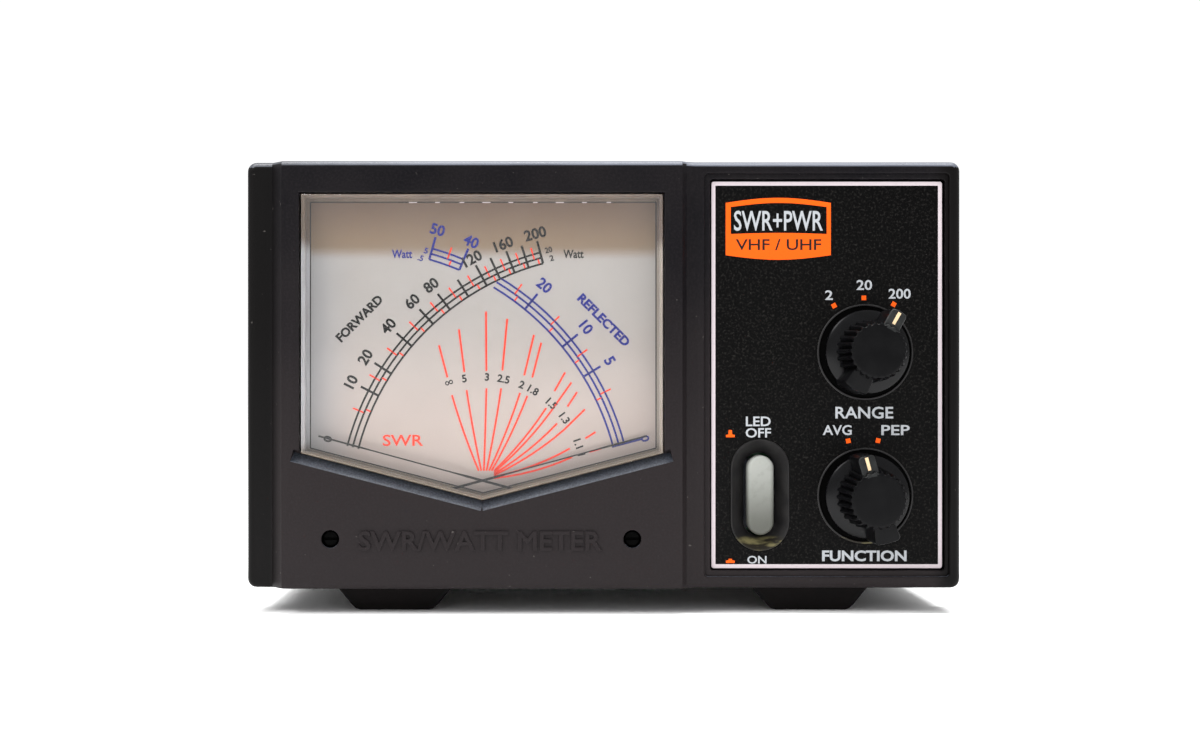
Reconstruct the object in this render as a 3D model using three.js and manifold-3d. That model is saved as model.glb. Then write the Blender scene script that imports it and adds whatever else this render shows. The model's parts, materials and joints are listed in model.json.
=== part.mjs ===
// A cross-needle SWR and power meter for a radio station bench.
// Millimetres. +X right and +Z up as the front is read, the front faces -Y,
// and the origin is the middle of the footprint, at the feet's soles.

import * as THREE from 'three';
import { mergeVertices } from 'three/addons/utils/BufferGeometryUtils.js';
import Module from 'manifold-3d';

const wasm = await Module();
wasm.setup();

// ---------------------------------------------------------------- driving dimensions

const GAP = 0.3;               // clearance wherever two pieces meet

const HALF_WIDTH = 77.5;       // bezel, the widest piece
const FLOOR_Z = 5.4;           // underside of the bezel, on its feet
const TOP_Z = 98;
const CORNER = 2;

const NOSE_Y = -56;            // front ends of the knobs
const FACE_Y = -44;            // proud face round the meter window
const RIGHT_Y = -42;           // lower face round the control panel
const STRIP_Y = -41;           // narrow strip left of the proud face
const PANEL_Y = -40.2;         // front of the control panel plate
const RIM_Y = -30;             // rear edge of the bezel
const BACK_Y = 38;             // outside of the back panel
const SOCKET_Y = 56;           // mouths of the coaxial sockets
const SHEET = 1.2;             // steel sheet

const BEZEL_WALL = 2.5;
const FACE_WALL = 3;

const METER_X = -26.3;         // middle of the meter
const WINDOW_HALF = 39.4;
const WINDOW_TOP = 91.1;
const WINDOW_SHOULDER = 34.6;  // where the sides turn into the V
const WINDOW_APEX = 24.4;
const LEDGE = { width: 2, depth: 2.8 };

const PIVOT_DX = 27.8;         // each needle's pivot from the middle of the meter
const PIVOT_Z = 21;
const NEEDLE_LENGTH = 66.1;
const NEEDLE_REST = 15.2;      // degrees above the horizontal with no power
const NEEDLE_SWEEP = 60;
const DIAL_Y = -35.6;

const PANEL = { left: 23.2, right: 74.3, bottom: 9.2, top: 94.3 };
const KNOB_X = 57.1;
const RANGE_Z = 56.7;
const FUNCTION_Z = 25.4;
const RANGE_REST = 30;         // degrees clockwise of upright, at the last of three detents
const FUNCTION_REST = -15;     // degrees, at the first of two detents

const BUTTON = { x: 34.2, z: 25.55, straight: 11.6, r: 2.85, front: -41.7 };

const SOCKET_X = [-35, 25];    // transmitter side, aerial side
const SOCKET_Z = 52;
const JACK = { x: 55, z: 25 };

const FOOT_X = 45.8;
const FOOT_Y = [-28, 22];
const SCREW_Y = [-12, 22];     // cover screws along each side
const SCREW_Z = 14;

// ---------------------------------------------------------------- materials

const FINISHES = {
  bezelPlastic: [0x322e2e, 0.7, 0],
  panelBlack: [0x1e1e1e, 0.8, 0],
  clear: [0xd8dcdc, 0.1, 0],
  dialCard: [0xcdc8c8, 0.6, 0],
  black: [0x101010, 0.5, 0],
  knobPlastic: [0x1d1d20, 0.45, 0],
  buttonPlastic: [0xaaaca5, 0.45, 0],
  switchPlastic: [0x2a2f3a, 0.5, 0],
  board: [0x2f6b3c, 0.5, 0],
  coverPaint: [0x2c2c2e, 0.6, 0.2],
  zinc: [0xb9bcc0, 0.4, 1],
  nickel: [0xc9c8c2, 0.25, 1],
  brass: [0xc9a24a, 0.35, 1],
  copper: [0xb86a3c, 0.45, 1],
  magnet: [0x6d6f73, 0.5, 1],
  ferrite: [0x38383a, 0.7, 0],
  insulator: [0xe6e2d6, 0.5, 0],
  rubber: [0x2b2929, 0.8, 0],
};

// ---------------------------------------------------------------- solids and cuts

function solid(geometry) {
  const bare = geometry.clone();
  bare.deleteAttribute('normal');
  bare.deleteAttribute('uv');
  const welded = mergeVertices(bare, 1e-4);
  return new wasm.Manifold(new wasm.Mesh({
    numProp: 3,
    vertProperties: new Float32Array(welded.attributes.position.array),
    triVerts: new Uint32Array(welded.index.array),
  }));
}

function geometryOf(body) {
  const mesh = body.getMesh();
  const geometry = new THREE.BufferGeometry();
  geometry.setAttribute('position', new THREE.BufferAttribute(mesh.vertProperties, 3));
  geometry.setIndex(new THREE.BufferAttribute(mesh.triVerts, 1));
  return geometry;
}

function join(...pieces) {
  return geometryOf(pieces.map(solid).reduce((whole, next) => whole.add(next)));
}

function cut(piece, ...tools) {
  return geometryOf(tools.map(solid).reduce((whole, tool) => whole.subtract(tool), solid(piece)));
}

function common(a, b) {
  return geometryOf(solid(a).intersect(solid(b)));
}

// ---------------------------------------------------------------- shapes

const radians = THREE.MathUtils.degToRad;

function polygon(points) {
  return new THREE.Shape(points.map(([a, b]) => new THREE.Vector2(a, b)));
}

function roundedRect(left, right, bottom, top, r) {
  const shape = new THREE.Shape();
  shape.absarc(right - r, bottom + r, r, -Math.PI / 2, 0);
  shape.absarc(right - r, top - r, r, 0, Math.PI / 2);
  shape.absarc(left + r, top - r, r, Math.PI / 2, Math.PI);
  shape.absarc(left + r, bottom + r, r, Math.PI, 1.5 * Math.PI);
  shape.closePath();
  return shape;
}

function box(left, right, front, back, bottom, top) {
  const block = new THREE.BoxGeometry(right - left, back - front, top - bottom);
  return block.translate((left + right) / 2, (front + back) / 2, (bottom + top) / 2);
}

// A shape drawn in the front view (x, z), made into a plate from front to back.
function plate(shape, front, back, curveSegments = 4) {
  const depth = back - front;
  const slab = new THREE.ExtrudeGeometry(shape, { depth, bevelEnabled: false, curveSegments });
  return slab.rotateX(Math.PI / 2).translate(0, back, 0);
}

// A shape drawn in plan (x, y), drawn up from bottom to top.
function column(shape, bottom, top) {
  const depth = top - bottom;
  const block = new THREE.ExtrudeGeometry(shape, { depth, bevelEnabled: false, curveSegments: 4 });
  return block.translate(0, 0, bottom);
}

function rod(x, z, r, front, back, sides = 20) {
  return new THREE.CylinderGeometry(r, r, back - front, sides).translate(x, (front + back) / 2, z);
}

function rodAlongX(y, z, r, left, right, sides = 16) {
  const bar = new THREE.CylinderGeometry(r, r, right - left, sides).rotateZ(Math.PI / 2);
  return bar.translate((left + right) / 2, y, z);
}

function rodAlongZ(x, y, r, bottom, top, sides = 12) {
  const bar = new THREE.CylinderGeometry(r, r, top - bottom, sides).rotateX(Math.PI / 2);
  return bar.translate(x, y, (bottom + top) / 2);
}

// An upright slot shape whose radius may change from its front end to its back end.
function slot({ x, z, straight, frontR, backR, front, back, arcSteps = 6 }) {
  const ends = [[front, frontR], [back, backR]];
  const ring = 2 * (arcSteps + 1);
  const positions = [];
  for (const [y, r] of ends) {
    for (let half = 0; half < 2; half += 1) {
      for (let step = 0; step <= arcSteps; step += 1) {
        const angle = Math.PI * (half + step / arcSteps);
        const middle = (half === 0 ? 1 : -1) * straight / 2;
        positions.push(x + r * Math.cos(angle), y, z + middle + r * Math.sin(angle));
      }
    }
  }
  const index = [];
  for (let i = 0; i < ring; i += 1) {
    const next = (i + 1) % ring;
    index.push(ring + i, next, i, ring + i, ring + next, next);
  }
  for (let i = 1; i < ring - 1; i += 1) {
    index.push(i, i + 1, 0, ring + i + 1, ring + i, ring);
  }
  const geometry = new THREE.BufferGeometry();
  geometry.setAttribute('position', new THREE.BufferAttribute(new Float32Array(positions), 3));
  geometry.setIndex(index);
  return geometry;
}

// The window outline, grown outwards by an amount all round.
function windowShape(grow) {
  const fall = (WINDOW_SHOULDER - WINDOW_APEX) / WINDOW_HALF;
  const side = WINDOW_HALF + grow;
  const lower = grow * Math.hypot(1, fall);
  return polygon([
    [METER_X - side, WINDOW_TOP + grow],
    [METER_X - side, WINDOW_SHOULDER + grow * fall - lower],
    [METER_X, WINDOW_APEX - lower],
    [METER_X + side, WINDOW_SHOULDER + grow * fall - lower],
    [METER_X + side, WINDOW_TOP + grow],
  ]);
}

// ---------------------------------------------------------------- assembly

const meter = new THREE.Group();

function add(name, geometry, finish, parent = meter) {
  const [color, roughness, metalness] = FINISHES[finish];
  const material = new THREE.MeshStandardMaterial({ color, roughness, metalness });
  const mesh = new THREE.Mesh(geometry, material);
  mesh.name = name;
  parent.add(mesh);
  return mesh;
}

// A group standing on a turning axis: its contents are drawn pointing right, then turned.
function turned(x, z, degreesAnticlockwise) {
  const group = new THREE.Group();
  group.position.set(x, 0, z);
  group.rotation.y = -radians(degreesAnticlockwise);
  meter.add(group);
  return group;
}

// ---------------------------------------------------------------- front bezel

const WALL_BACK = -36.4;       // rear of the wall behind the control panel
const PANEL_SEAT = -38.4;      // front of that wall
const ADJUSTERS = [
  { name: 'reflected', x: -59, z: 16.3, toPivot: 45 },
  { name: 'forward', x: 6.2, z: 16.3, toPivot: 135 },
];
const BOSS_X = 70.9;
const BOSS_Z = 14;

// A sloping cut along one half of the V, falling back from the face to the window's edge.
function ledgeCut(side) {
  const start = new THREE.Vector2(METER_X, WINDOW_APEX);
  const end = new THREE.Vector2(METER_X + side * WINDOW_HALF, WINDOW_SHOULDER);
  const along = end.clone().sub(start);
  const length = along.length();
  along.normalize();
  const down = new THREE.Vector2(along.y, -along.x).multiplyScalar(side);
  const section = polygon([
    [-0.6, -LEDGE.depth], [0, -LEDGE.depth], [LEDGE.width, 0], [LEDGE.width, 1], [-0.6, 1],
  ]);
  const overrun = 1.2;
  const bar = new THREE.ExtrudeGeometry(section, { depth: length + overrun, bevelEnabled: false });
  bar.translate(0, 0, side < 0 ? -0.3 : -length - overrun + 0.3);
  const basis = new THREE.Matrix4().makeBasis(
    new THREE.Vector3(down.x, 0, down.y),
    new THREE.Vector3(0, -1, 0),
    new THREE.Vector3(along.x, 0, along.y).multiplyScalar(-side),
  );
  return bar.applyMatrix4(basis).translate(start.x, FACE_Y, start.y);
}

function buttonWell() {
  const funnel = { ...BUTTON, frontR: 6.1, backR: 3.35, front: PANEL_Y, back: -37.4 };
  const mouth = { ...BUTTON, frontR: 6.1, backR: 6.1, front: PANEL_Y - 1, back: PANEL_Y };
  const hole = { ...BUTTON, frontR: 3.35, backR: 3.35, front: -37.4, back: WALL_BACK + 1 };
  return join(slot(funnel), slot(mouth), slot(hole));
}

function frontBezel() {
  const plan = polygon([
    [-HALF_WIDTH, RIM_Y], [-HALF_WIDTH, STRIP_Y], [-72, STRIP_Y], [-69.5, FACE_Y],
    [17, FACE_Y], [18, FACE_Y + 1.3], [20, RIGHT_Y], [HALF_WIDTH, RIGHT_Y], [HALF_WIDTH, RIM_Y],
  ]);
  const outline = roundedRect(-HALF_WIDTH, HALF_WIDTH, FLOOR_Z, TOP_Z, CORNER);
  const body = common(column(plan, FLOOR_Z, TOP_Z), plate(outline, FACE_Y - 1, RIM_Y + 1));
  const inside = HALF_WIDTH - BEZEL_WALL;
  const low = FLOOR_Z + BEZEL_WALL;
  const high = TOP_Z - BEZEL_WALL;
  const shell = cut(
    body,
    box(-inside, inside, WALL_BACK, RIM_Y + 2, low, high),
    box(-69, 16, FACE_Y + FACE_WALL, WALL_BACK + 0.5, low, high),
    plate(windowShape(0), FACE_Y - 1, WALL_BACK),
    ledgeCut(-1),
    ledgeCut(1),
    box(22, 75, RIGHT_Y - 1, PANEL_Y - 1, 8, 95.4),
    box(PANEL.left, PANEL.right, RIGHT_Y - 1, PANEL_SEAT, PANEL.bottom, PANEL.top),
    rod(KNOB_X, RANGE_Z, 3.9, PANEL_Y, WALL_BACK + 1),
    rod(KNOB_X, FUNCTION_Z, 3.9, PANEL_Y, WALL_BACK + 1),
    buttonWell(),
    ...ADJUSTERS.map(({ x, z }) => rod(x, z, 1.9, FACE_Y - 1, RIM_Y, 20)),
  );
  const bosses = [-1, 1].map((side) => {
    const near = side * (BOSS_X - 2.4);
    const far = side * (inside + 0.2);
    return box(Math.min(near, far), Math.max(near, far), WALL_BACK - 2.2, RIM_Y, BOSS_Z - 3, BOSS_Z + 3);
  });
  const holes = [-1, 1].map((side) => rod(side * BOSS_X, BOSS_Z, 1.5, -35, RIM_Y + 1, 12));
  return cut(join(shell, ...bosses), ...holes);
}

function panelPlate() {
  const outline = roundedRect(
    PANEL.left + GAP, PANEL.right - GAP, PANEL.bottom + GAP, PANEL.top - GAP, 0.8,
  );
  const seats = [RANGE_Z, FUNCTION_Z].flatMap((z) => [
    rod(KNOB_X, z, 3.9, PANEL_Y - 1, PANEL_SEAT),
    rod(KNOB_X, z, 10.05, PANEL_Y - 1, PANEL_Y + 0.5, 32),
  ]);
  return cut(plate(outline, PANEL_Y, PANEL_SEAT - GAP), buttonWell(), ...seats);
}

function bezelScrew(side) {
  const head = rod(side * BOSS_X, BOSS_Z, 2.1, -28.1, -26.5, 12);
  return join(head, rod(side * BOSS_X, BOSS_Z, 1.2, -34.5, -28, 8));
}

add('front_bezel', frontBezel(), 'bezelPlastic');
add('control_panel_plate', panelPlate(), 'panelBlack');
add('bezel_screw_left', bezelScrew(-1), 'zinc');
add('bezel_screw_right', bezelScrew(1), 'zinc');

// ---------------------------------------------------------------- meter front: lens, dial, light

function meterLens() {
  const pane = plate(windowShape(-GAP), FACE_Y + 0.4, FACE_Y + FACE_WALL + 1);
  const flange = plate(windowShape(1.7), FACE_Y + FACE_WALL + GAP, FACE_Y + FACE_WALL + 1.8);
  return join(pane, flange);
}

function dialPlate() {
  const outline = polygon([
    [METER_X - 40.6, 93], [METER_X - 40.6, 31], [METER_X, 20.5], [METER_X + 40.6, 31],
    [METER_X + 40.6, 93],
  ]);
  return plate(outline, DIAL_Y, DIAL_Y + 0.5);
}

function backlightStrip() {
  const board = box(METER_X - 34, METER_X + 34, -40.4, -36.6, 93.5, 94.5);
  const lamps = [-30, -18, -6, 6, 18, 30].map((offset) => (
    box(METER_X + offset - 1.5, METER_X + offset + 1.5, -38.8, -36.9, 92.6, 93.6)
  ));
  return join(board, ...lamps);
}

add('meter_lens', meterLens(), 'clear');
add('dial_plate', dialPlate(), 'dialCard');
add('backlight_strip', backlightStrip(), 'insulator');

// ---------------------------------------------------------------- meter frame and movements

const FRAME = { left: -68.2, right: 15.5, bottom: 9, top: 93.2, front: DIAL_Y + 0.8, back: -13.6 };
const FRAME_WALL = 1.6;
const MAGNET = { outer: 9.8, inner: 7.4, front: -31.5 };
const COIL = { front: -31, back: -18, inner: 4.9, outer: 6.6 };
const CORE = { r: 4.4, front: -29.5, back: -19.5 };
const PIN_R = 0.5;

const MOVEMENTS = [
  { name: 'forward', x: METER_X + PIVOT_DX, rest: 180 - NEEDLE_REST, sweep: -NEEDLE_SWEEP, y: -38.3 },
  { name: 'reflected', x: METER_X - PIVOT_DX, rest: NEEDLE_REST, sweep: NEEDLE_SWEEP, y: -37.2 },
];

function meterFrame() {
  const { left, right, bottom, top, front, back } = FRAME;
  const wall = FRAME_WALL;
  const tray = cut(
    box(left, right, front, back, bottom, top),
    box(left + wall, right - wall, front - 1, back - wall, bottom + wall, top - wall),
  );
  return cut(tray, ...MOVEMENTS.map(({ x }) => rod(x, PIVOT_Z, 0.9, back - wall - 1, back + 1, 12)));
}

function magnetRing() {
  const back = FRAME.back - FRAME_WALL - GAP;
  return cut(
    rod(0, 0, MAGNET.outer, MAGNET.front, back, 24),
    rod(0, 0, MAGNET.inner, MAGNET.front - 1, back + 1, 24),
  );
}

function core() {
  const web = MAGNET.inner - GAP;
  return join(
    rod(0, 0, CORE.r, CORE.front, CORE.back),
    box(-1, 1, CORE.front, CORE.back, -web, web),
  );
}

function coil() {
  const wire = 1;
  const loop = cut(
    box(-COIL.outer, COIL.outer, COIL.front, COIL.back, -1.2, 1.2),
    box(-COIL.inner, COIL.inner, COIL.front + wire, COIL.back - wire, -2, 2),
  );
  const frontPin = rod(0, 0, PIN_R, -39.9, COIL.front + 0.2, 12);
  const backPin = rod(0, 0, PIN_R, COIL.back - 0.2, FRAME.back - 0.8, 12);
  return join(loop, frontPin, backPin);
}

function needle(front) {
  const back = front + 0.5;
  const pointer = plate(polygon([
    [-7, -0.5], [0, -0.5], [NEEDLE_LENGTH, -0.17], [NEEDLE_LENGTH, 0.17], [0, 0.5], [-7, 0.5],
  ]), front, back);
  const weight = box(-7, -4.6, front, back, -1.5, 1.5);
  return cut(join(pointer, rod(0, 0, 2, front, back, 20), weight), rod(0, 0, 0.8, front - 1, back + 1, 12));
}

// The front bearing arm stands on a foot below the pivot, clear of the needle's tail.
function bridge() {
  const footZ = FRAME.bottom - PIVOT_Z;
  const arm = box(-1.3, 1.3, -40.4, -39.4, footZ + 0.6, 1.6);
  const foot = box(-1.3, 1.3, -40, FRAME.front - GAP, footZ + 0.6, footZ + 2.6);
  return cut(join(arm, foot), rod(0, 0, 0.8, -41, -39, 12));
}

class Spiral extends THREE.Curve {
  getPoint(t, target = new THREE.Vector3()) {
    const angle = 2.5 * 2 * Math.PI * t;
    const r = 1.3 + 2.2 * t;
    return target.set(r * Math.cos(angle), 0, r * Math.sin(angle));
  }
}

function hairspring() {
  const strip = polygon([[-0.25, -0.11], [0.25, -0.11], [0.25, 0.11], [-0.25, 0.11]]);
  const path = new Spiral();
  const flat = new THREE.ExtrudeGeometry(strip, { steps: 36, extrudePath: path });
  return flat.translate(0, -38.95, 0);
}

function zeroAdjuster(toPivot) {
  const wallBack = FACE_Y + FACE_WALL;
  const stem = cut(
    rod(0, 0, 1.5, -43, wallBack + 1, 16),
    box(-2, 2, -43.5, -42.2, -0.3, 0.3),
  );
  const flange = rod(0, 0, 2.8, wallBack + GAP, wallBack + 1.2, 20);
  const angle = radians(toPivot);
  const crank = rod(1.9 * Math.cos(angle), 1.9 * Math.sin(angle), 0.5, wallBack + 1, wallBack + 2, 10);
  return join(stem, flange, crank);
}

add('meter_frame', meterFrame(), 'switchPlastic');

for (const { name, x, rest, sweep, y } of MOVEMENTS) {
  const fixed = turned(x, PIVOT_Z, 0);
  const halfway = turned(x, PIVOT_Z, rest + sweep / 2);
  const moving = turned(x, PIVOT_Z, rest);
  add(`${name}_magnet`, magnetRing(), 'magnet', fixed);
  add(`${name}_core`, core(), 'zinc', halfway);
  add(`${name}_coil`, coil(), 'copper', moving);
  add(`${name}_needle`, needle(y), 'black', moving);
  add(`${name}_bridge`, bridge(), 'brass', fixed);
  add(`${name}_hairspring`, hairspring(), 'brass', fixed);
}

for (const { name, x, z, toPivot } of ADJUSTERS) {
  add(`${name}_zero_adjuster`, zeroAdjuster(toPivot), 'black', turned(x, z, 0));
}

// ---------------------------------------------------------------- knobs and rotary switches

const KNOB = { skirt: 9.1, grip: 5.8, reach: 9.7, wing: 3.6, skirtFront: -43.6, flutes: 24 };
const SHAFT_R = 2.6;
const SWITCH = { front: WALL_BACK + GAP, back: -26.5, half: 8, bushing: 3.5 };

function fluted(r, count, depth) {
  const points = [];
  for (let i = 0; i < 2 * count; i += 1) {
    const angle = Math.PI * i / count;
    const radius = i % 2 === 0 ? r : r - depth;
    points.push([radius * Math.cos(angle), radius * Math.sin(angle)]);
  }
  return polygon(points);
}

// Drawn with the pointer wing to the right.
function knob() {
  const seat = PANEL_Y + 0.5 - GAP;
  const { skirt, grip, reach, wing, skirtFront, flutes } = KNOB;
  const base = new THREE.CylinderGeometry(skirt, skirt - 0.5, seat - skirtFront, 32);
  base.translate(0, (seat + skirtFront) / 2, 0);
  const handle = plate(fluted(grip, flutes, 0.35), NOSE_Y + 0.5, skirtFront + 0.5);
  const wings = box(-reach + 0.6, reach, NOSE_Y, skirtFront + 0.5, -wing / 2, wing / 2);
  return cut(
    join(base, handle, wings),
    rod(0, 0, 7.6, -42.6, seat + 1),
    rod(0, 0, SHAFT_R + GAP, -51, seat),
  );
}

function rotarySwitch(z) {
  const { front, back, half, bushing } = SWITCH;
  const body = box(KNOB_X - half, KNOB_X + half, front, back, z - half, z + half);
  const neck = rod(KNOB_X, z, bushing, -41.9, front + 0.5);
  return cut(join(body, neck), rod(KNOB_X, z, SHAFT_R + GAP, -43, back - 1));
}

function switchNut(z) {
  const hexagon = rod(KNOB_X, z, 5.6, -41.4, PANEL_Y + 0.5 - GAP, 6);
  return cut(hexagon, rod(KNOB_X, z, SWITCH.bushing + GAP, -42, -39));
}

function switchShaft(z) {
  return rod(KNOB_X, z, SHAFT_R, -50.5, SWITCH.back - 1.5);
}

for (const [name, z, clockwise] of [['range', RANGE_Z, RANGE_REST], ['function', FUNCTION_Z, FUNCTION_REST]]) {
  add(`${name}_knob`, knob(), 'knobPlastic', turned(KNOB_X, z, 90 - clockwise));
  add(`${name}_switch_body`, rotarySwitch(z), 'switchPlastic');
  add(`${name}_switch_shaft`, switchShaft(z), 'zinc');
  add(`${name}_switch_nut`, switchNut(z), 'nickel');
}

// ---------------------------------------------------------------- push button and its switch

const PUSH = { buttonBack: -37.5, bodyFront: -33.9, plungerR: 1.5 };

class Helix extends THREE.Curve {
  getPoint(t, target = new THREE.Vector3()) {
    const angle = 4 * 2 * Math.PI * t;
    const y = THREE.MathUtils.lerp(PUSH.buttonBack + 0.55, PUSH.bodyFront - 0.55, t);
    return target.set(BUTTON.x + 2.3 * Math.cos(angle), y, BUTTON.z + 2.3 * Math.sin(angle));
  }
}

function pushSpring() {
  const wire = new THREE.Shape();
  wire.absarc(0, 0, 0.22, 0, 2 * Math.PI);
  return new THREE.ExtrudeGeometry(wire, { steps: 44, curveSegments: 3, extrudePath: new Helix() });
}

function pushSwitchBody() {
  const body = box(BUTTON.x - 4, BUTTON.x + 4, PUSH.bodyFront, SWITCH.back, BUTTON.z - 7.5, BUTTON.z + 7.5);
  return cut(body, rod(BUTTON.x, BUTTON.z, PUSH.plungerR + GAP, PUSH.bodyFront - 1, SWITCH.back - 0.6, 16));
}

function boardBehindSwitches() {
  return box(26, 68, SWITCH.back + GAP, SWITCH.back + GAP + 1.6, 12, 70);
}

add('led_button', slot({
  ...BUTTON, frontR: BUTTON.r, backR: BUTTON.r, front: BUTTON.front, back: PUSH.buttonBack,
}), 'buttonPlastic');
add('push_switch_plunger', rod(BUTTON.x, BUTTON.z, PUSH.plungerR, PUSH.buttonBack + GAP, -30.6, 16), 'insulator');
add('push_switch_spring', pushSpring(), 'zinc');
add('push_switch_body', pushSwitchBody(), 'switchPlastic');
add('switch_board', boardBehindSwitches(), 'board');

// ---------------------------------------------------------------- case

const COVER = { half: HALF_WIDTH - 1.3, top: TOP_Z - 1, bottom: 6.3, front: RIM_Y + GAP };
const CHASSIS_HALF = COVER.half - SHEET - 0.4;
const CHASSIS_FLOOR = 5.9;
const CHASSIS_TOP = COVER.top - SHEET - 0.4;
const SCREW_HOLE = 1.6;
const FLANGE_HOLE = 9.1;       // socket flange screws, from the socket's axis, across and up

function coverScrewHoles() {
  return SCREW_Y.map((y) => rodAlongX(y, SCREW_Z, SCREW_HOLE, -HALF_WIDTH - 1, HALF_WIDTH + 1, 10));
}

function topCover() {
  const { half, top, bottom, front } = COVER;
  const outer = roundedRect(-half, half, bottom - 10, top, 2.4);
  const inner = roundedRect(-half + SHEET, half - SHEET, bottom - 12, top - SHEET, 1.2);
  return cut(
    plate(outer, front, BACK_Y),
    plate(inner, front - 1, BACK_Y + 1),
    box(-half - 1, half + 1, front - 1, BACK_Y + 1, bottom - 20, bottom),
    ...coverScrewHoles(),
  );
}

// The screws of each socket sit on one diagonal of its flange.
function flangeScrewPlaces() {
  return SOCKET_X.flatMap((x) => [-1, 1].map((side) => ({
    x: x + side * FLANGE_HOLE, z: SOCKET_Z + side * FLANGE_HOLE,
  })));
}

function chassis() {
  const half = CHASSIS_HALF;
  const front = COVER.front;
  const inner = half - SHEET;
  const floorTop = CHASSIS_FLOOR + SHEET;
  const shell = join(
    box(-half, half, front, BACK_Y, CHASSIS_FLOOR, floorTop),
    box(-half, half, BACK_Y - SHEET, BACK_Y, CHASSIS_FLOOR, CHASSIS_TOP),
    box(-half, -inner, front, BACK_Y, CHASSIS_FLOOR, 20),
    box(inner, half, front, BACK_Y, CHASSIS_FLOOR, 20),
    box(-half, -69, front, front + SHEET, CHASSIS_FLOOR, 20),
    box(69, half, front, front + SHEET, CHASSIS_FLOOR, 20),
  );
  const stems = FOOT_Y.flatMap((y) => [-1, 1].map((side) => (
    rodAlongZ(side * FOOT_X, y + 1, 2.9, CHASSIS_FLOOR - 1, floorTop + 1)
  )));
  return cut(
    shell,
    ...coverScrewHoles(),
    ...stems,
    ...[-1, 1].map((side) => rod(side * BOSS_X, BOSS_Z, SCREW_HOLE, front - 1, front + 3, 8)),
    ...SOCKET_X.map((x) => rod(x, SOCKET_Z, 7.2, BACK_Y - 3, BACK_Y + 1)),
    ...flangeScrewPlaces().map(({ x, z }) => rod(x, z, SCREW_HOLE, BACK_Y - 3, BACK_Y + 1, 8)),
    rod(JACK.x, JACK.z, 4.2, BACK_Y - 3, BACK_Y + 1),
  );
}

function coverScrew(side, y) {
  const head = rodAlongX(y, SCREW_Z, 2.6, 0, HALF_WIDTH - COVER.half - GAP, 16);
  head.translate(COVER.half + GAP, 0, 0);
  const shank = rodAlongX(y, SCREW_Z, 1.3, 71, COVER.half + GAP + 0.1, 8);
  const screw = join(head, shank);
  return side > 0 ? screw : screw.rotateZ(Math.PI).translate(0, 2 * y, 0);
}

function foot(side, y) {
  const x = side * FOOT_X;
  const section = polygon([
    [x - 12.9, FLOOR_Z - GAP], [x - 9.2, 0.9], [x - 7.8, 0], [x + 7.8, 0], [x + 9.2, 0.9],
    [x + 12.9, FLOOR_Z - GAP],
  ]);
  const stem = rodAlongZ(x, y + 1, 2.5, FLOOR_Z - GAP - 0.1, CHASSIS_FLOOR + SHEET + 1.2);
  return join(plate(section, y - 8, y + 8), stem);
}

add('chassis', chassis(), 'coverPaint');
add('top_cover', topCover(), 'coverPaint');
for (const [sideName, side] of [['left', -1], ['right', 1]]) {
  SCREW_Y.forEach((y, i) => {
    add(`cover_screw_${sideName}_${['front', 'rear'][i]}`, coverScrew(side, y), 'zinc');
  });
  FOOT_Y.forEach((y, i) => {
    add(`foot_${sideName}_${['front', 'rear'][i]}`, foot(side, y), 'rubber');
  });
}

// ---------------------------------------------------------------- coupler and sockets at the back

const COUPLER = { left: -55, right: 45, front: 14, back: BACK_Y - SHEET - GAP, bottom: 36, top: 68 };
const COUPLER_WALL = 1.5;
const LINE_Y = 26;
const FLANGE = { half: 12.7, front: BACK_Y + GAP, back: BACK_Y + 1.9 };
const SHELL_R = 7.9;
const MOUTH_R = 6.6;
const INSULATOR_FACE = SOCKET_Y - 5;

function couplerHousing() {
  const { left, right, front, back, bottom, top } = COUPLER;
  const wall = COUPLER_WALL;
  return cut(
    box(left, right, front, back, bottom, top),
    box(left + wall, right - wall, front - 1, back - wall, bottom + wall, top - wall),
    ...SOCKET_X.map((x) => rod(x, SOCKET_Z, 7.2, back - 3, back + 1)),
    ...flangeScrewPlaces().map(({ x, z }) => rod(x, z, SCREW_HOLE, back - 3, back + 1, 8)),
  );
}

function couplerLid() {
  const { left, right, front, bottom, top } = COUPLER;
  return box(left, right, front - GAP - SHEET, front - GAP, bottom, top);
}

function lineConductor() {
  const ends = SOCKET_X.map((x) => rod(x, SOCKET_Z, 2.6, LINE_Y - 1.5, INSULATOR_FACE, 20));
  const wire = rodAlongX(LINE_Y, SOCKET_Z, 1.4, SOCKET_X[0], SOCKET_X[1], 12);
  const bores = SOCKET_X.map((x) => rod(x, SOCKET_Z, 2, INSULATOR_FACE - 14, INSULATOR_FACE + 1, 16));
  return cut(join(...ends, wire), ...bores);
}

function currentToroid() {
  const middle = (SOCKET_X[0] + SOCKET_X[1]) / 2;
  return cut(
    rodAlongX(LINE_Y, SOCKET_Z, 8, middle - 4, middle + 4),
    rodAlongX(LINE_Y, SOCKET_Z, 4, middle - 5, middle + 5),
  );
}

function couplerBoard() {
  const inset = COUPLER_WALL + 1.5;
  return box(COUPLER.left + inset, COUPLER.right - inset, 16, 33, 39.5, 41.1);
}

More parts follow.
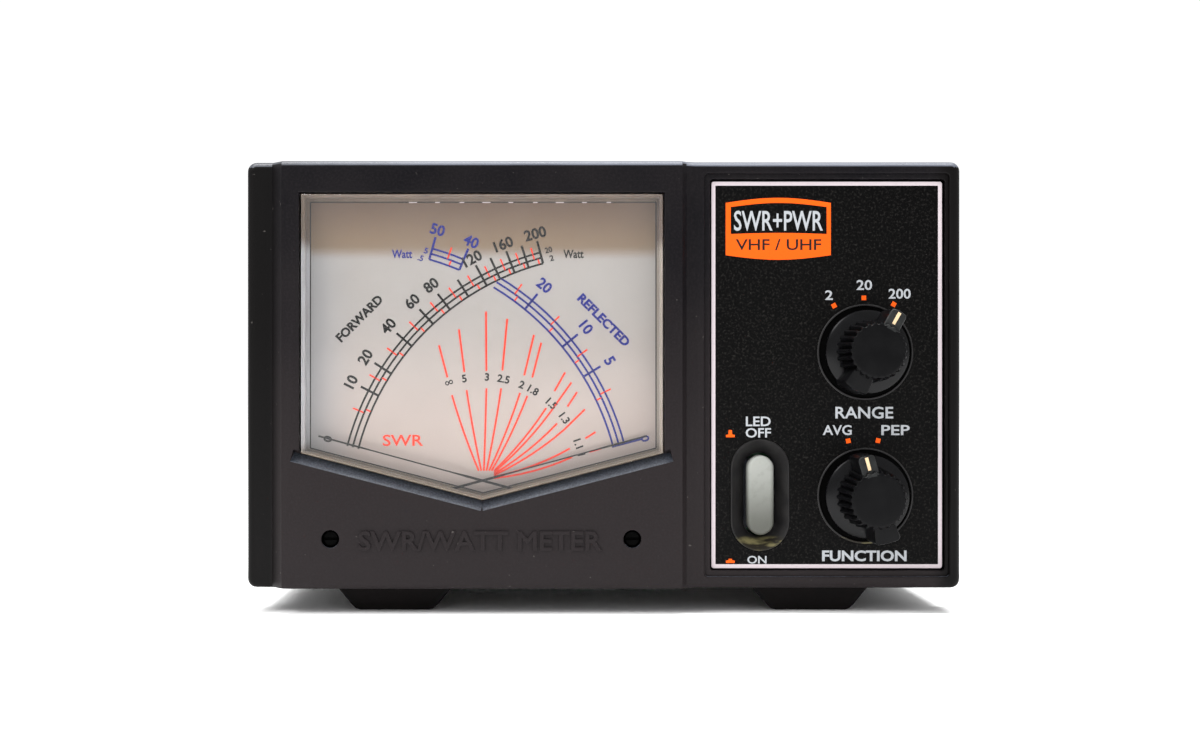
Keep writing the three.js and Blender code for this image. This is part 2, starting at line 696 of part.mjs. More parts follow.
function socket(x) {
  const { half, front, back } = FLANGE;
  const base = plate(roundedRect(x - half, x + half, SOCKET_Z - half, SOCKET_Z + half, 1.5), front, back);
  const shell = rod(x, SOCKET_Z, SHELL_R, back - 0.2, SOCKET_Y, 28);
  const neck = rod(x, SOCKET_Z, 6.8, COUPLER.back - COUPLER_WALL - GAP, front + 0.2);
  const corners = [-1, 1].flatMap((across) => [-1, 1].map((up) => (
    rod(x + across * FLANGE_HOLE, SOCKET_Z + up * FLANGE_HOLE, SCREW_HOLE, front - 1, back + 1, 10)
  )));
  return cut(
    join(base, shell, neck),
    rod(x, SOCKET_Z, MOUTH_R, back + 4, SOCKET_Y + 1, 28),
    rod(x, SOCKET_Z, 4.1, COUPLER.back - 5, SOCKET_Y),
    ...corners,
  );
}

function insulator(x) {
  const shoulder = FLANGE.back + 4 + GAP;
  const neck = rod(x, SOCKET_Z, 3.8, 33.5, shoulder + 0.1);
  const disc = rod(x, SOCKET_Z, MOUTH_R - GAP, shoulder, INSULATOR_FACE, 24);
  return cut(join(disc, neck), rod(x, SOCKET_Z, 2.9, 30, SOCKET_Y));
}

function flangeScrew({ x, z }) {
  const seat = FLANGE.back + GAP;
  return join(rod(x, z, 2.5, seat, seat + 1.7, 16), rod(x, z, 1.25, 34, seat + 0.1, 8));
}

function dcJack() {
  const { x, z } = JACK;
  const body = box(x - 4.5, x + 4.5, 25, BACK_Y - SHEET - GAP, z - 5.5, z + 5.5);
  const barrel = rod(x, z, 3.9, BACK_Y - 2, BACK_Y + 3.2);
  const bore = cut(rod(x, z, 2.8, 28, BACK_Y + 5), rod(x, z, 1, 27, BACK_Y + 1.5, 12));
  return cut(join(body, barrel), bore);
}

function jackNut() {
  const hexagon = rod(JACK.x, JACK.z, 6.2, BACK_Y + GAP, BACK_Y + 2.1, 6);
  return cut(hexagon, rod(JACK.x, JACK.z, 4.2, BACK_Y - 1, BACK_Y + 3));
}

add('coupler_housing', couplerHousing(), 'zinc');
add('coupler_lid', couplerLid(), 'zinc');
add('line_conductor', lineConductor(), 'brass');
add('current_toroid', currentToroid(), 'ferrite');
add('coupler_board', couplerBoard(), 'board');
['input', 'output'].forEach((name, i) => {
  add(`${name}_socket`, socket(SOCKET_X[i]), 'nickel');
  add(`${name}_insulator`, insulator(SOCKET_X[i]), 'insulator');
});
flangeScrewPlaces().forEach((place, i) => {
  const socketName = i < 2 ? 'input' : 'output';
  const height = i % 2 === 0 ? 'lower' : 'upper';
  add(`${socketName}_screw_${height}`, flangeScrew(place), 'zinc');
});
add('dc_jack', dcJack(), 'black');
add('dc_jack_nut', jackNut(), 'nickel');

export default meter;
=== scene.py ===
import json
import math

import bpy
from mathutils import Matrix, Vector


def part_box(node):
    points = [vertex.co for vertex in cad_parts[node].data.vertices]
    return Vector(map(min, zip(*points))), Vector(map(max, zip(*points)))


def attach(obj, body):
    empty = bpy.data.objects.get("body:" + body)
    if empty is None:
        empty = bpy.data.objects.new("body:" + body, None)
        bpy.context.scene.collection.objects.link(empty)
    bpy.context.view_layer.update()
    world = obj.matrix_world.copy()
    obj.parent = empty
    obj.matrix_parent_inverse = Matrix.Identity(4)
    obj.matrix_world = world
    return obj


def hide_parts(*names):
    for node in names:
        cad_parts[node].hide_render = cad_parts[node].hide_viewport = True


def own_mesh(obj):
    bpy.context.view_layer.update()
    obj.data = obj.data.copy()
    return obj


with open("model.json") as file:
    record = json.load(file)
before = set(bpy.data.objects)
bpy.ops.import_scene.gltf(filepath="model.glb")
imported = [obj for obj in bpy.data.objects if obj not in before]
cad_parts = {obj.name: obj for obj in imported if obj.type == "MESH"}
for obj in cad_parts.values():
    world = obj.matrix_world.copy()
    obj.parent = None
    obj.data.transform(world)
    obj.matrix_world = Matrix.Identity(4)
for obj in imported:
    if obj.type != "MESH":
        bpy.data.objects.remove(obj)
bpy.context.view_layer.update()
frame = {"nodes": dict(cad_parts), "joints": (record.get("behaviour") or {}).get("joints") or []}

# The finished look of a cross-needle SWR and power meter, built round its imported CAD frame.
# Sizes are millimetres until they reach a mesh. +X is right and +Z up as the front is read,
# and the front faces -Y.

MM = 0.001


def box_mm(node):
    """A CAD node's lowest and highest corners, in millimetres."""
    low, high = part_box(node)
    return low / MM, high / MM


def middle_mm(node):
    """The middle of a CAD node's box, in millimetres."""
    low, high = box_mm(node)
    return (low + high) / 2


def pivot_mm(joint_name):
    """The point a joint turns about, in millimetres."""
    found = [joint for joint in frame["joints"] if joint["name"] == joint_name]
    return Vector(found[0]["pos_m"]) / MM


# ------------------------------------------------------------------ sizes taken from the frame

BEZEL_LOW, BEZEL_HIGH = box_mm("front_bezel")
PANEL_LOW, PANEL_HIGH = box_mm("control_panel_plate")
LENS_LOW, LENS_HIGH = box_mm("meter_lens")
DIAL_LOW, DIAL_HIGH = box_mm("dial_plate")
COVER_LOW, COVER_HIGH = box_mm("top_cover")
BUTTON_LOW, BUTTON_HIGH = box_mm("led_button")

FACE_Y = BEZEL_LOW.y             # proud face round the meter window
RIGHT_Y = FACE_Y + 2             # lower face round the control panel
STRIP_Y = FACE_Y + 3             # narrow strip at the left
RIM_Y = BEZEL_HIGH.y             # rear edge of the bezel
WALL_BACK = -36.4                # rear of the wall behind the control panel
BEZEL_WALL = 2.5
GAP = 0.3                        # clearance wherever two pieces meet
PANEL_Y = PANEL_LOW.y
DIAL_Y = DIAL_LOW.y

METER_X = middle_mm("meter_lens").x
LENS_FLANGE = 1.7
WINDOW_HALF = (LENS_HIGH.x - LENS_LOW.x) / 2 - LENS_FLANGE
WINDOW_TOP = LENS_HIGH.z - LENS_FLANGE
WINDOW_APEX = 24.4
WINDOW_SHOULDER = 34.6

FORWARD_PIVOT = pivot_mm("forward_swing")
REFLECTED_PIVOT = pivot_mm("reflected_swing")
NEEDLE_REST = 15.2               # degrees above the horizontal with no power

RANGE_AT = pivot_mm("range_turn")
FUNCTION_AT = pivot_mm("function_turn")
RANGE_ANGLE = 30                 # degrees clockwise of upright at rest
FUNCTION_ANGLE = -15
KNOB_FRONT = box_mm("range_knob")[0].y
KNOB_SEAT = box_mm("range_knob")[1].y
REAR_Y = box_mm("chassis")[1].y

BUTTON_X = middle_mm("led_button").x
BUTTON_Z = middle_mm("led_button").z
BUTTON_R = (BUTTON_HIGH.x - BUTTON_LOW.x) / 2
BUTTON_STRAIGHT = BUTTON_HIGH.z - BUTTON_LOW.z - 2 * BUTTON_R

PRINT = 0.03                     # thickness of a printed mark

# ------------------------------------------------------------------ camera

scene = bpy.context.scene
scene.view_settings.view_transform = "Standard"

CAMERA_AT = Vector((-11.4, -420, 50.6))


def make_camera():
    bpy.ops.object.camera_add(location=CAMERA_AT * MM, rotation=(math.pi / 2, 0, 0))
    camera = bpy.context.object
    camera.data.sensor_width = 36
    camera.data.lens = 52.3
    camera.data.shift_x = 0.041
    camera.data.shift_y = 0.0017
    camera.data.clip_start = 0.01
    scene.camera = camera


make_camera()

# ------------------------------------------------------------------ modelling helpers


def deselect():
    bpy.ops.object.select_all(action="DESELECT")


def only(*objects):
    """Selects these objects alone, the first of them active."""
    deselect()
    for obj in objects:
        obj.select_set(True)
    bpy.context.view_layer.objects.active = objects[0]


def to_edit():
    bpy.ops.object.mode_set(mode="EDIT")


def to_object():
    bpy.ops.object.mode_set(mode="OBJECT")


def tidy_skin(obj):
    """Merges coincident points and turns every face outwards."""
    only(obj)
    to_edit()
    bpy.ops.mesh.select_all(action="SELECT")
    bpy.ops.mesh.remove_doubles(threshold=0.002 * MM)
    bpy.ops.mesh.normals_make_consistent(inside=False)
    to_object()
    return obj


def loft(rings, endless=False):
    """A closed skin: an outline extruded from ring to ring, then capped, or joined up to the first."""
    deselect()
    count = len(rings[0])
    bpy.ops.mesh.primitive_circle_add(vertices=count, radius=1, fill_type="NOTHING")
    skin = bpy.context.object
    mesh = skin.data
    placed = [[Vector(point) * MM for point in ring] for ring in rings]
    for vertex, point in zip(mesh.vertices, placed[0]):
        vertex.co = point
    to_edit()
    bpy.ops.mesh.select_mode(type="EDGE")
    bpy.ops.mesh.select_all(action="SELECT")
    later_rings = placed[1:] + (placed[:1] if endless else [])
    for earlier, later in zip(placed, later_rings):
        goes_to = {tuple(a): b for a, b in zip(earlier, later)}
        bpy.ops.mesh.extrude_edges_move()
        to_object()
        for vertex in mesh.vertices:
            if vertex.select:
                vertex.co = goes_to[tuple(vertex.co)]
        to_edit()
    if not endless:
        bpy.ops.mesh.edge_face_add()
        to_object()
        for part in (*mesh.polygons, *mesh.vertices):
            part.select = False
        for edge in mesh.edges:
            edge.select = all(index < count for index in edge.vertices)
        to_edit()
        bpy.ops.mesh.edge_face_add()
    to_object()
    return tidy_skin(skin)


def plate(points, front, back):
    """A flat plate from an outline of (x, z) points, from its front to its back."""
    deselect()
    bpy.ops.mesh.primitive_circle_add(vertices=len(points), radius=1, fill_type="NGON")
    body = bpy.context.object
    for vertex, (x, z) in zip(body.data.vertices, points):
        vertex.co = Vector((x, front, z)) * MM
    to_edit()
    bpy.ops.mesh.select_all(action="SELECT")
    bpy.ops.mesh.extrude_region_move(TRANSFORM_OT_translate={"value": (0, (back - front) * MM, 0)})
    bpy.ops.mesh.select_all(action="SELECT")
    bpy.ops.mesh.normals_make_consistent(inside=False)
    to_object()
    return body


def at_depth(points, y):
    return [(x, y, z) for x, z in points]


def circle(x, z, r, count=48):
    return [
        (x + r * math.cos(2 * math.pi * i / count), z + r * math.sin(2 * math.pi * i / count))
        for i in range(count)
    ]


def lathe(x, z, profile, endless=False, count=48):
    """A turned shape about a line along Y, from (radius, y) steps."""
    return loft([at_depth(circle(x, z, r, count), y) for r, y in profile], endless)


def arc(x, z, r, start, end, steps):
    """Points along an arc, between two angles in degrees."""
    angles = [math.radians(start + (end - start) * i / steps) for i in range(steps + 1)]
    return [(x + r * math.cos(a), z + r * math.sin(a)) for a in angles]


def rounded(left, right, bottom, top, r):
    """A rectangle with round corners, drawn anticlockwise from the lower right."""
    steps = 5
    return (
        arc(right - r, bottom + r, r, -90, 0, steps)
        + arc(right - r, top - r, r, 0, 90, steps)
        + arc(left + r, top - r, r, 90, 180, steps)
        + arc(left + r, bottom + r, r, 180, 270, steps)
    )


def obround(r, steps=12):
    """The push button's upright slot shape, at any radius."""
    half = BUTTON_STRAIGHT / 2
    return (
        arc(BUTTON_X, BUTTON_Z + half, r, 0, 180, steps)
        + arc(BUTTON_X, BUTTON_Z - half, r, 180, 360, steps)
    )


def window(grow):
    """The meter window's five-sided outline, grown outwards by an amount all round."""
    fall = (WINDOW_SHOULDER - WINDOW_APEX) / WINDOW_HALF
    side = WINDOW_HALF + grow
    lower = grow * math.hypot(1, fall)
    shoulder = WINDOW_SHOULDER + grow * fall - lower
    return [
        (METER_X - side, WINDOW_TOP + grow),
        (METER_X - side, shoulder),
        (METER_X, WINDOW_APEX - lower),
        (METER_X + side, shoulder),
        (METER_X + side, WINDOW_TOP + grow),
    ]


def rectangle(left, right, bottom, top):
    return [(left, bottom), (right, bottom), (right, top), (left, top)]


def combine(body, tools, operation="DIFFERENCE"):
    """Cuts tools out of a body, or adds them to it, and removes the tools."""
    for tool in tools:
        only(body)
        step = body.modifiers.new("combine", "BOOLEAN")
        step.operation = operation
        step.object = tool
        step.solver = "EXACT"
        bpy.ops.object.modifier_apply(modifier=step.name)
        bpy.data.objects.remove(tool)
    return body


def soften(obj, width, segments=3, sharper_than=40):
    """Rounds every edge sharper than an angle."""
    only(obj)
    step = obj.modifiers.new("soften", "BEVEL")
    step.width = width * MM
    step.segments = segments
    step.limit_method = "ANGLE"
    step.angle_limit = math.radians(sharper_than)
    bpy.ops.object.modifier_apply(modifier=step.name)
    return obj


def flared(outline_at, surface, bottom, lip):
    """A cutting tool whose mouth opens in a small curve where it meets a surface."""
    rings = [(2.2 * lip, surface - 1.2 * lip), (lip, surface), (0.28 * lip, surface + 0.45 * lip)]
    rings += [(0, surface + 1.2 * lip), (0, bottom)]
    return loft([at_depth(outline_at(grow), y) for grow, y in rings])


def joined(pieces):
    only(*pieces)
    if len(pieces) > 1:
        bpy.ops.object.join()
    return bpy.context.object


def refinish(obj, material, belongs):
    """Gives a second finish to the faces of a piece whose middle (mm) and normal pass a test."""
    obj.data.materials.append(material)
    for face in obj.data.polygons:
        if belongs(face.center / MM, face.normal):
            face.material_index = len(obj.data.materials) - 1


def finished(obj, name, body, material, stands_for=(), smooth_below=32):
    """Names a piece, smooths it, gives it its finish and sets what it rides on."""
    only(obj)
    obj.name = name
    obj.data.name = name
    bpy.ops.object.shade_smooth_by_angle(angle=math.radians(smooth_below))
    obj.data.materials.clear()
    obj.data.materials.append(material)
    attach(obj, body)
    if stands_for:
        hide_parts(*stands_for)
    return obj


FACING_FRONT = Matrix(((1, 0, 0), (0, 0, -1), (0, 1, 0)))
FACING_REAR = Matrix(((-1, 0, 0), (0, 0, 1), (0, 1, 0)))


def lettering(
    words, x, z, height, width=0, turn=0, weight=0.0, front=0.0, thick=PRINT, facing=FACING_FRONT, slope=0.0
):
    """Words centred at a place on a face, with a height, a width if one is given, and a turn in degrees."""
    deselect()
    bpy.ops.object.text_add()
    text = bpy.context.object
    text.data.body = words
    text.data.resolution_u = 3
    text.data.offset = weight
    text.data.extrude = 0.5 - slope
    text.data.bevel_depth = slope
    text.data.bevel_resolution = 1
    bpy.ops.object.convert(target="MESH")
    label = bpy.context.object
    across = [vertex.co.x for vertex in label.data.vertices]
    up = [vertex.co.y for vertex in label.data.vertices]
    tall = height / (max(up) - min(up))
    wide = width / (max(across) - min(across)) if width else tall
    centre = Vector(((max(across) + min(across)) / 2, (max(up) + min(up)) / 2, 0))
    place = (
        Matrix.Scale(MM, 4)
        @ Matrix.Translation((x, front + thick / 2, z))
        @ facing.to_4x4()
        @ Matrix.Rotation(math.radians(turn), 4, "Z")
        @ Matrix.Diagonal((wide, tall, thick, 1))
        @ Matrix.Translation(-centre)
    )
    label.data.transform(place)
    return tidy_skin(label)


def ribbon(points, width, front):
    """A printed line of even width through (x, z) points."""
    places = [Vector(point) for point in points]
    left, right = [], []
    for i, place in enumerate(places):
        ahead = places[min(i + 1, len(places) - 1)] - places[max(i - 1, 0)]
        side = ahead.orthogonal().normalized() * width / 2
        left.append(tuple(place + side))
        right.append(tuple(place - side))
    return plate(left + right[::-1], front, front + PRINT)


def arc_strip(pivot, r, start, end, width, front):
    """A printed arc about a pivot, between two angles in degrees."""
    steps = max(2, round(abs(end - start) / 2.5))
    outer = arc(pivot.x, pivot.z, r + width / 2, start, end, steps)
    inner = arc(pivot.x, pivot.z, r - width / 2, end, start, steps)
    return plate(outer + inner, front, front + PRINT)


# ------------------------------------------------------------------ materials


def paint(r, g, b):
    """A colour as read on a screen, 0 to 255, as the shader's linear colour."""
    def linear(level):
        level /= 255
        return level / 12.92 if level <= 0.04045 else ((level + 0.055) / 1.055) ** 2.4
    return (linear(r), linear(g), linear(b), 1)


class Finish:
    """A material under construction: one Principled shader fed by patterns on object coordinates."""

    def __init__(self, name, roughness, metallic=0.0, specular=0.5, coat=0.0):
        self.material = bpy.data.materials.new(name)
        self.material.use_nodes = True
        self.tree = self.material.node_tree
        self.shader = self.tree.nodes["Principled BSDF"]
        self.shader.inputs["Roughness"].default_value = roughness
        self.shader.inputs["Metallic"].default_value = metallic
        self.shader.inputs["Specular IOR Level"].default_value = specular
        self.shader.inputs["Coat Weight"].default_value = coat
        self.shader.inputs["Coat Roughness"].default_value = 0.12
        self.where = self.node("ShaderNodeTexCoord").outputs["Object"]

    def node(self, kind, **settings):
        made = self.tree.nodes.new(kind)
        for name, value in settings.items():
            setattr(made, name, value)
        return made

    def feed(self, source, target):
        self.tree.links.new(source, target)

    def stretched(self, x, y, z):
        mapping = self.node("ShaderNodeMapping")
        mapping.inputs["Scale"].default_value = (x, y, z)
        self.feed(self.where, mapping.inputs["Vector"])
        return mapping.outputs["Vector"]

    def noise(self, size_mm, detail=3.0, vector=None, roughness=0.5):
        made = self.node("ShaderNodeTexNoise")
        made.inputs["Scale"].default_value = 1 / (size_mm * MM)
        made.inputs["Detail"].default_value = detail
        made.inputs["Roughness"].default_value = roughness
        self.feed(vector or self.where, made.inputs["Vector"])
        return made.outputs["Fac"]

    def along(self, axis, start_mm, end_mm):
        """0 to 1 between two places along an object axis."""
        parts = self.node("ShaderNodeSeparateXYZ")
        self.feed(self.where, parts.inputs["Vector"])
        return self.spread(parts.outputs[axis], start_mm * MM, end_mm * MM, 0, 1, smooth=True)

    def spread(self, source, low, high, to_low, to_high, smooth=False):
        ramp = self.node("ShaderNodeMapRange")
        if smooth:
            ramp.interpolation_type = "SMOOTHSTEP"
        ramp.inputs["From Min"].default_value = low
        ramp.inputs["From Max"].default_value = high
        ramp.inputs["To Min"].default_value = to_low
        ramp.inputs["To Max"].default_value = to_high
        self.feed(source, ramp.inputs["Value"])
        return ramp.outputs["Result"]

    def blend(self, share, first, second):
        """Mixes two colours, each a fixed colour or another node's output."""
        mix = self.node("ShaderNodeMix", data_type="RGBA")
        self.feed(share, mix.inputs["Factor"])
        for socket, colour in ((mix.inputs[6], first), (mix.inputs[7], second)):
            if isinstance(colour, tuple):
                socket.default_value = colour
            else:
                self.feed(colour, socket)
        return mix.outputs[2]

    def mottle(self, pattern, low, high, most, ground, tint):
        """Tints a ground colour where a pattern rises from low to high, up to a share."""
        return self.blend(self.spread(pattern, low, high, 0, most), ground, tint)

    def colour(self, source):
        self.feed(source, self.shader.inputs["Base Color"])

    def rough(self, source, low, high):
        self.feed(self.spread(source, 0.3, 0.7, low, high), self.shader.inputs["Roughness"])

    def bump(self, source, depth_mm, strength=1.0, under=None):
        made = self.node("ShaderNodeBump")
        made.inputs["Distance"].default_value = depth_mm * MM
        made.inputs["Strength"].default_value = strength
        self.feed(source, made.inputs["Height"])
        if under is not None:
            self.feed(under, made.inputs["Normal"])
        self.feed(made.outputs["Normal"], self.shader.inputs["Normal"])
        return made.outputs["Normal"]


def moulded(name, dark, light, roughness, patch=9, grain=0.35, depth=0.02, specular=0.4):
    """Moulded plastic: faint colour patches, a varied sheen and a fine grain."""
    finish = Finish(name, roughness, specular=specular)
    patches = finish.noise(patch)
    finish.colour(finish.mottle(patches, 0.35, 0.65, 1, paint(*dark), paint(*light)))
    finish.rough(patches, roughness - 0.05, roughness + 0.05)
    finish.bump(finish.noise(grain, detail=2), depth)
    return finish.material


def metal(name, dark, light, roughness, stretch=(1, 1, 1), grain=0.25, depth=0.004):
    """Bare metal: a slightly uneven tone with fine marks that may run one way."""
    finish = Finish(name, roughness, metallic=1.0)
    marks = finish.noise(grain, detail=4, vector=finish.stretched(*stretch))
    tone = finish.noise(6)
    finish.colour(finish.mottle(tone, 0.3, 0.7, 1, paint(*dark), paint(*light)))
    finish.rough(marks, roughness - 0.08, roughness + 0.1)
    finish.bump(marks, depth)
    return finish.material


def bezel_plastic():
    """Warm charcoal ABS with a fine spark-eroded grain and a little dust in it, with painted shade darkening
    it towards the top and at the far left and right.
    """
    finish = Finish("bezel_plastic", 0.46, specular=0.075)
    patches = finish.noise(22)
    grain = finish.noise(0.5, detail=4, roughness=0.65)
    # Painted shade: the bezel is darker towards its top.
    upper = finish.blend(finish.along("Z", 26, 88), paint(28, 24, 25), paint(7, 6, 9))
    base = finish.mottle(patches, 0.35, 0.65, 0.25, upper, paint(30, 26, 26))
    speckled = finish.mottle(grain, 0.45, 0.8, 0.22, base, paint(48, 44, 46))
    # Painted shade: darker on the set-back left strip and at the right edge.
    left = finish.blend(finish.along("X", -69, -73), speckled, paint(5, 4, 4))
    with_side_shade = finish.blend(finish.along("X", 71, 75), left, paint(5, 4, 4))
    dust = finish.noise(1.1, detail=1)
    finish.colour(finish.mottle(dust, 0.76, 0.8, 0.3, with_side_shade, paint(110, 106, 102)))
    finish.rough(patches, 0.4, 0.5)
    finish.bump(grain, 0.035, strength=0.8)
    return finish.material


def ledge_painted_highlight():
    """The bezel's sloping edge under the window, a little glossier, its pale grey-blue a painted highlight
    of the light it catches.
    """
    finish = Finish("ledge_painted_highlight", 0.35, specular=0.3)
    grain = finish.noise(0.4, detail=4)
    # Painted highlight: the pale grey-blue stands for light caught on the slope.
    finish.colour(finish.mottle(grain, 0.35, 0.7, 1, paint(40, 43, 50), paint(72, 76, 84)))
    finish.rough(finish.noise(5), 0.3, 0.42)
    finish.bump(grain, 0.02)
    return finish.material


def top_edge_highlight():
    """The bezel's rounded top front edge, painted pale as a highlight of the overhead light, dimmer at the
    far left.
    """
    finish = Finish("bezel_top_edge_highlight", 0.4, specular=0.25)
    highlight_streaks = finish.noise(5, detail=4, vector=finish.stretched(0.3, 1, 1))
    # Painted highlight: bright along the top edge, dimmer towards the far left.
    tone = finish.blend(finish.along("X", -76, -30), paint(24, 25, 28), paint(66, 69, 78))
    finish.colour(finish.mottle(highlight_streaks, 0.35, 0.65, 0.4, tone, paint(88, 92, 102)))
    finish.rough(highlight_streaks, 0.34, 0.46)
    finish.bump(finish.noise(0.5, detail=3), 0.02)
    return finish.material


def panel_enamel():
    """Black wrinkle enamel: a coarse glittering grain on the control panel."""
    finish = Finish("panel_enamel", 0.5, specular=0.045)
    grain = finish.noise(0.55, detail=3, roughness=0.7)
    fine = finish.noise(0.22, detail=2)
    finish.colour(finish.mottle(grain, 0.52, 0.76, 0.5, paint(3, 3, 3), paint(52, 50, 48)))
    finish.rough(fine, 0.35, 0.62)
    finish.bump(grain, 0.11, strength=0.8)
    return finish.material


def dial_paint():
    """Matt card: pale grey, with a warm, darker band of painted shade across the top, faintly pink low down.
    """
    finish = Finish("dial_paint", 0.75, specular=0.2)
    low_down = finish.along("Z", 70, 34)
    body = finish.blend(low_down, paint(150, 146, 144), paint(166, 153, 148))
    to_left = finish.along("X", METER_X - 26, METER_X - 42)
    cooler = finish.blend(to_left, body, paint(154, 154, 157))
    # Painted shade: a warm, darker band across the top of the dial.
    band = finish.along("Z", 76.6, 80.4)
    top = finish.blend(finish.along("Z", 79, 92), paint(117, 99, 81), paint(95, 76, 65))
    with_shade_band = finish.blend(band, cooler, top)
    aged = finish.noise(14, detail=2)
    finish.colour(finish.mottle(aged, 0.3, 0.7, 0.12, with_shade_band, paint(128, 119, 114)))
    finish.bump(finish.noise(0.3), 0.001)
    return finish.material


def printed(name, colour, worn):
    """Screen-printed ink: nearly even, with thin spots where the ground shows through."""
    finish = Finish(name, 0.5, specular=0.1)
    thin = finish.noise(0.6, detail=4)
    finish.colour(finish.mottle(thin, 0.52, 0.78, 0.35, paint(*colour), paint(*worn)))
    finish.bump(finish.noise(0.2), 0.004)
    return finish.material


def lens_plastic():
    """Clear acrylic seen as a thin sheet: mostly open, with a mirror sheen that grows at grazing angles."""
    finish = Finish("lens_plastic", 0.05)
    nodes = finish.tree.nodes
    nodes.remove(finish.shader)
    clear = finish.node("ShaderNodeBsdfTransparent")
    clear.inputs["Color"].default_value = (0.985, 0.985, 0.98, 1)
    gloss = finish.node("ShaderNodeBsdfGlossy")
    gloss.inputs["Color"].default_value = (0.9, 0.9, 0.9, 1)
    wipe = finish.spread(finish.noise(9, detail=4), 0.35, 0.7, 0.03, 0.09)
    finish.feed(wipe, gloss.inputs["Roughness"])
    edge_on = finish.node("ShaderNodeLayerWeight")
    edge_on.inputs["Blend"].default_value = 0.5
    steeper = finish.node("ShaderNodeMath", operation="POWER")
    steeper.inputs[1].default_value = 4
    finish.feed(edge_on.outputs["Facing"], steeper.inputs[0])
    sheet = finish.node("ShaderNodeMixShader")
    finish.feed(finish.spread(steeper.outputs["Value"], 0, 1, 0.02, 0.8), sheet.inputs["Fac"])
    finish.feed(clear.outputs["BSDF"], sheet.inputs[1])
    finish.feed(gloss.outputs["BSDF"], sheet.inputs[2])
    finish.feed(sheet.outputs["Shader"], nodes["Material Output"].inputs["Surface"])
    return finish.material


def rim_plastic():
    """The lens's thick moulded edge: milky, with painted light making it paler at the left and painted shade
    making it darker and tan at the foot and top.
    """
    finish = Finish("rim_plastic", 0.4, specular=0.2)
    # Painted light at the left, painted shade at the foot and top.
    to_right = finish.along("X", METER_X - 41, METER_X + 41)
    sides = finish.blend(to_right, paint(176, 176, 182), paint(150, 142, 134))
    at_top = finish.along("Z", 78, 82)
    at_foot = finish.along("Z", 37.5, 34.5)
    with_foot_shade = finish.blend(at_foot, sides, paint(110, 99, 87))
    with_top_shade = finish.blend(at_top, with_foot_shade, paint(98, 84, 76))
    streaks = finish.noise(3, detail=3, vector=finish.stretched(1, 0.1, 0.15))
    finish.colour(finish.mottle(streaks, 0.4, 0.7, 0.3, with_top_shade, paint(130, 113, 96)))
    finish.rough(streaks, 0.32, 0.46)
    finish.bump(finish.noise(1.2), 0.01)
    return finish.material


def knob_skirt_plastic():
    """Glossy near-black, so that the skirt shows crisp highlights round its rim."""
    finish = Finish("knob_skirt_plastic", 0.22, specular=0.14)
    patches = finish.noise(4)
    finish.colour(finish.mottle(patches, 0.35, 0.65, 1, paint(2, 2, 3), paint(5, 5, 7)))
    finish.rough(patches, 0.2, 0.25)
    finish.bump(finish.noise(0.2), 0.003)
    return finish.material


def well_plastic():
    """Satin black round the push button, with a painted warm reflection low down near the button."""
    finish = Finish("well_plastic", 0.36, specular=0.2)
    across = finish.noise(3)
    base = finish.mottle(across, 0.35, 0.65, 1, paint(24, 23, 24), paint(32, 31, 31))
    # Painted reflection: a warm streaky patch low down near the button.
    low_down = finish.along("Z", BUTTON_LOW.z - 0.2, BUTTON_LOW.z - 1.2)
    reflection_streaks = finish.noise(2.2, detail=4, vector=finish.stretched(0.4, 1, 1.6))
    warm = finish.mottle(reflection_streaks, 0.45, 0.6, 1, paint(34, 31, 25), paint(104, 98, 68))
    finish.colour(finish.blend(low_down, base, warm))
    finish.rough(across, 0.36, 0.48)
    finish.bump(finish.noise(0.25), 0.01)
    return finish.material


def button_plastic():
    """Pale grey, with painted shade darkening it towards its foot, and a little grime."""
    finish = Finish("button_plastic", 0.4, specular=0.3)
    # Painted shade: the button darkens from its top towards its foot.
    lower = finish.along("Z", BUTTON_HIGH.z, BUTTON_LOW.z)
    body = finish.blend(lower, paint(136, 138, 133), paint(66, 67, 61))
    grime = finish.noise(1.6, detail=5)
    finish.colour(finish.mottle(grime, 0.5, 0.72, 0.2, body, paint(72, 72, 66)))
    finish.rough(finish.noise(2), 0.36, 0.48)
    finish.bump(finish.noise(0.3), 0.008)
    return finish.material


def circuit_board():
    """Green solder mask over faint straight tracks."""
    finish = Finish("board_mask", 0.35, specular=0.5, coat=0.3)
    tracks = finish.noise(2.2, detail=0, vector=finish.stretched(0.25, 1, 1))
    laid = finish.spread(tracks, 0.52, 0.55, 0, 1)
    finish.colour(finish.blend(laid, paint(24, 74, 44), paint(40, 104, 62)))
    finish.bump(laid, 0.03)
    return finish.material


def cover_enamel():
    """Black powder coat on sheet steel, with an orange-peel skin."""
    finish = Finish("cover_enamel", 0.42, specular=0.22)
    patches = finish.noise(30)
    peel = finish.noise(1.1, detail=2)
    fine = finish.noise(0.35, detail=3)
    base = finish.mottle(patches, 0.35, 0.65, 1, paint(22, 22, 23), paint(29, 29, 30))
    finish.colour(finish.mottle(fine, 0.5, 0.8, 0.4, base, paint(58, 58, 59)))
    finish.rough(fine, 0.38, 0.52)
    under = finish.bump(peel, 0.05, strength=0.6)
    finish.bump(fine, 0.02, strength=0.7, under=under)
    return finish.material


BEZEL = bezel_plastic()
PANEL = panel_enamel()
DIAL = dial_paint()
LENS = lens_plastic()
RIM = rim_plastic()
SKIRT = knob_skirt_plastic()
KNOB = moulded("knob_plastic", (3, 3, 4), (6, 6, 7), 0.36, patch=3, grain=0.3, depth=0.006, specular=0.07)
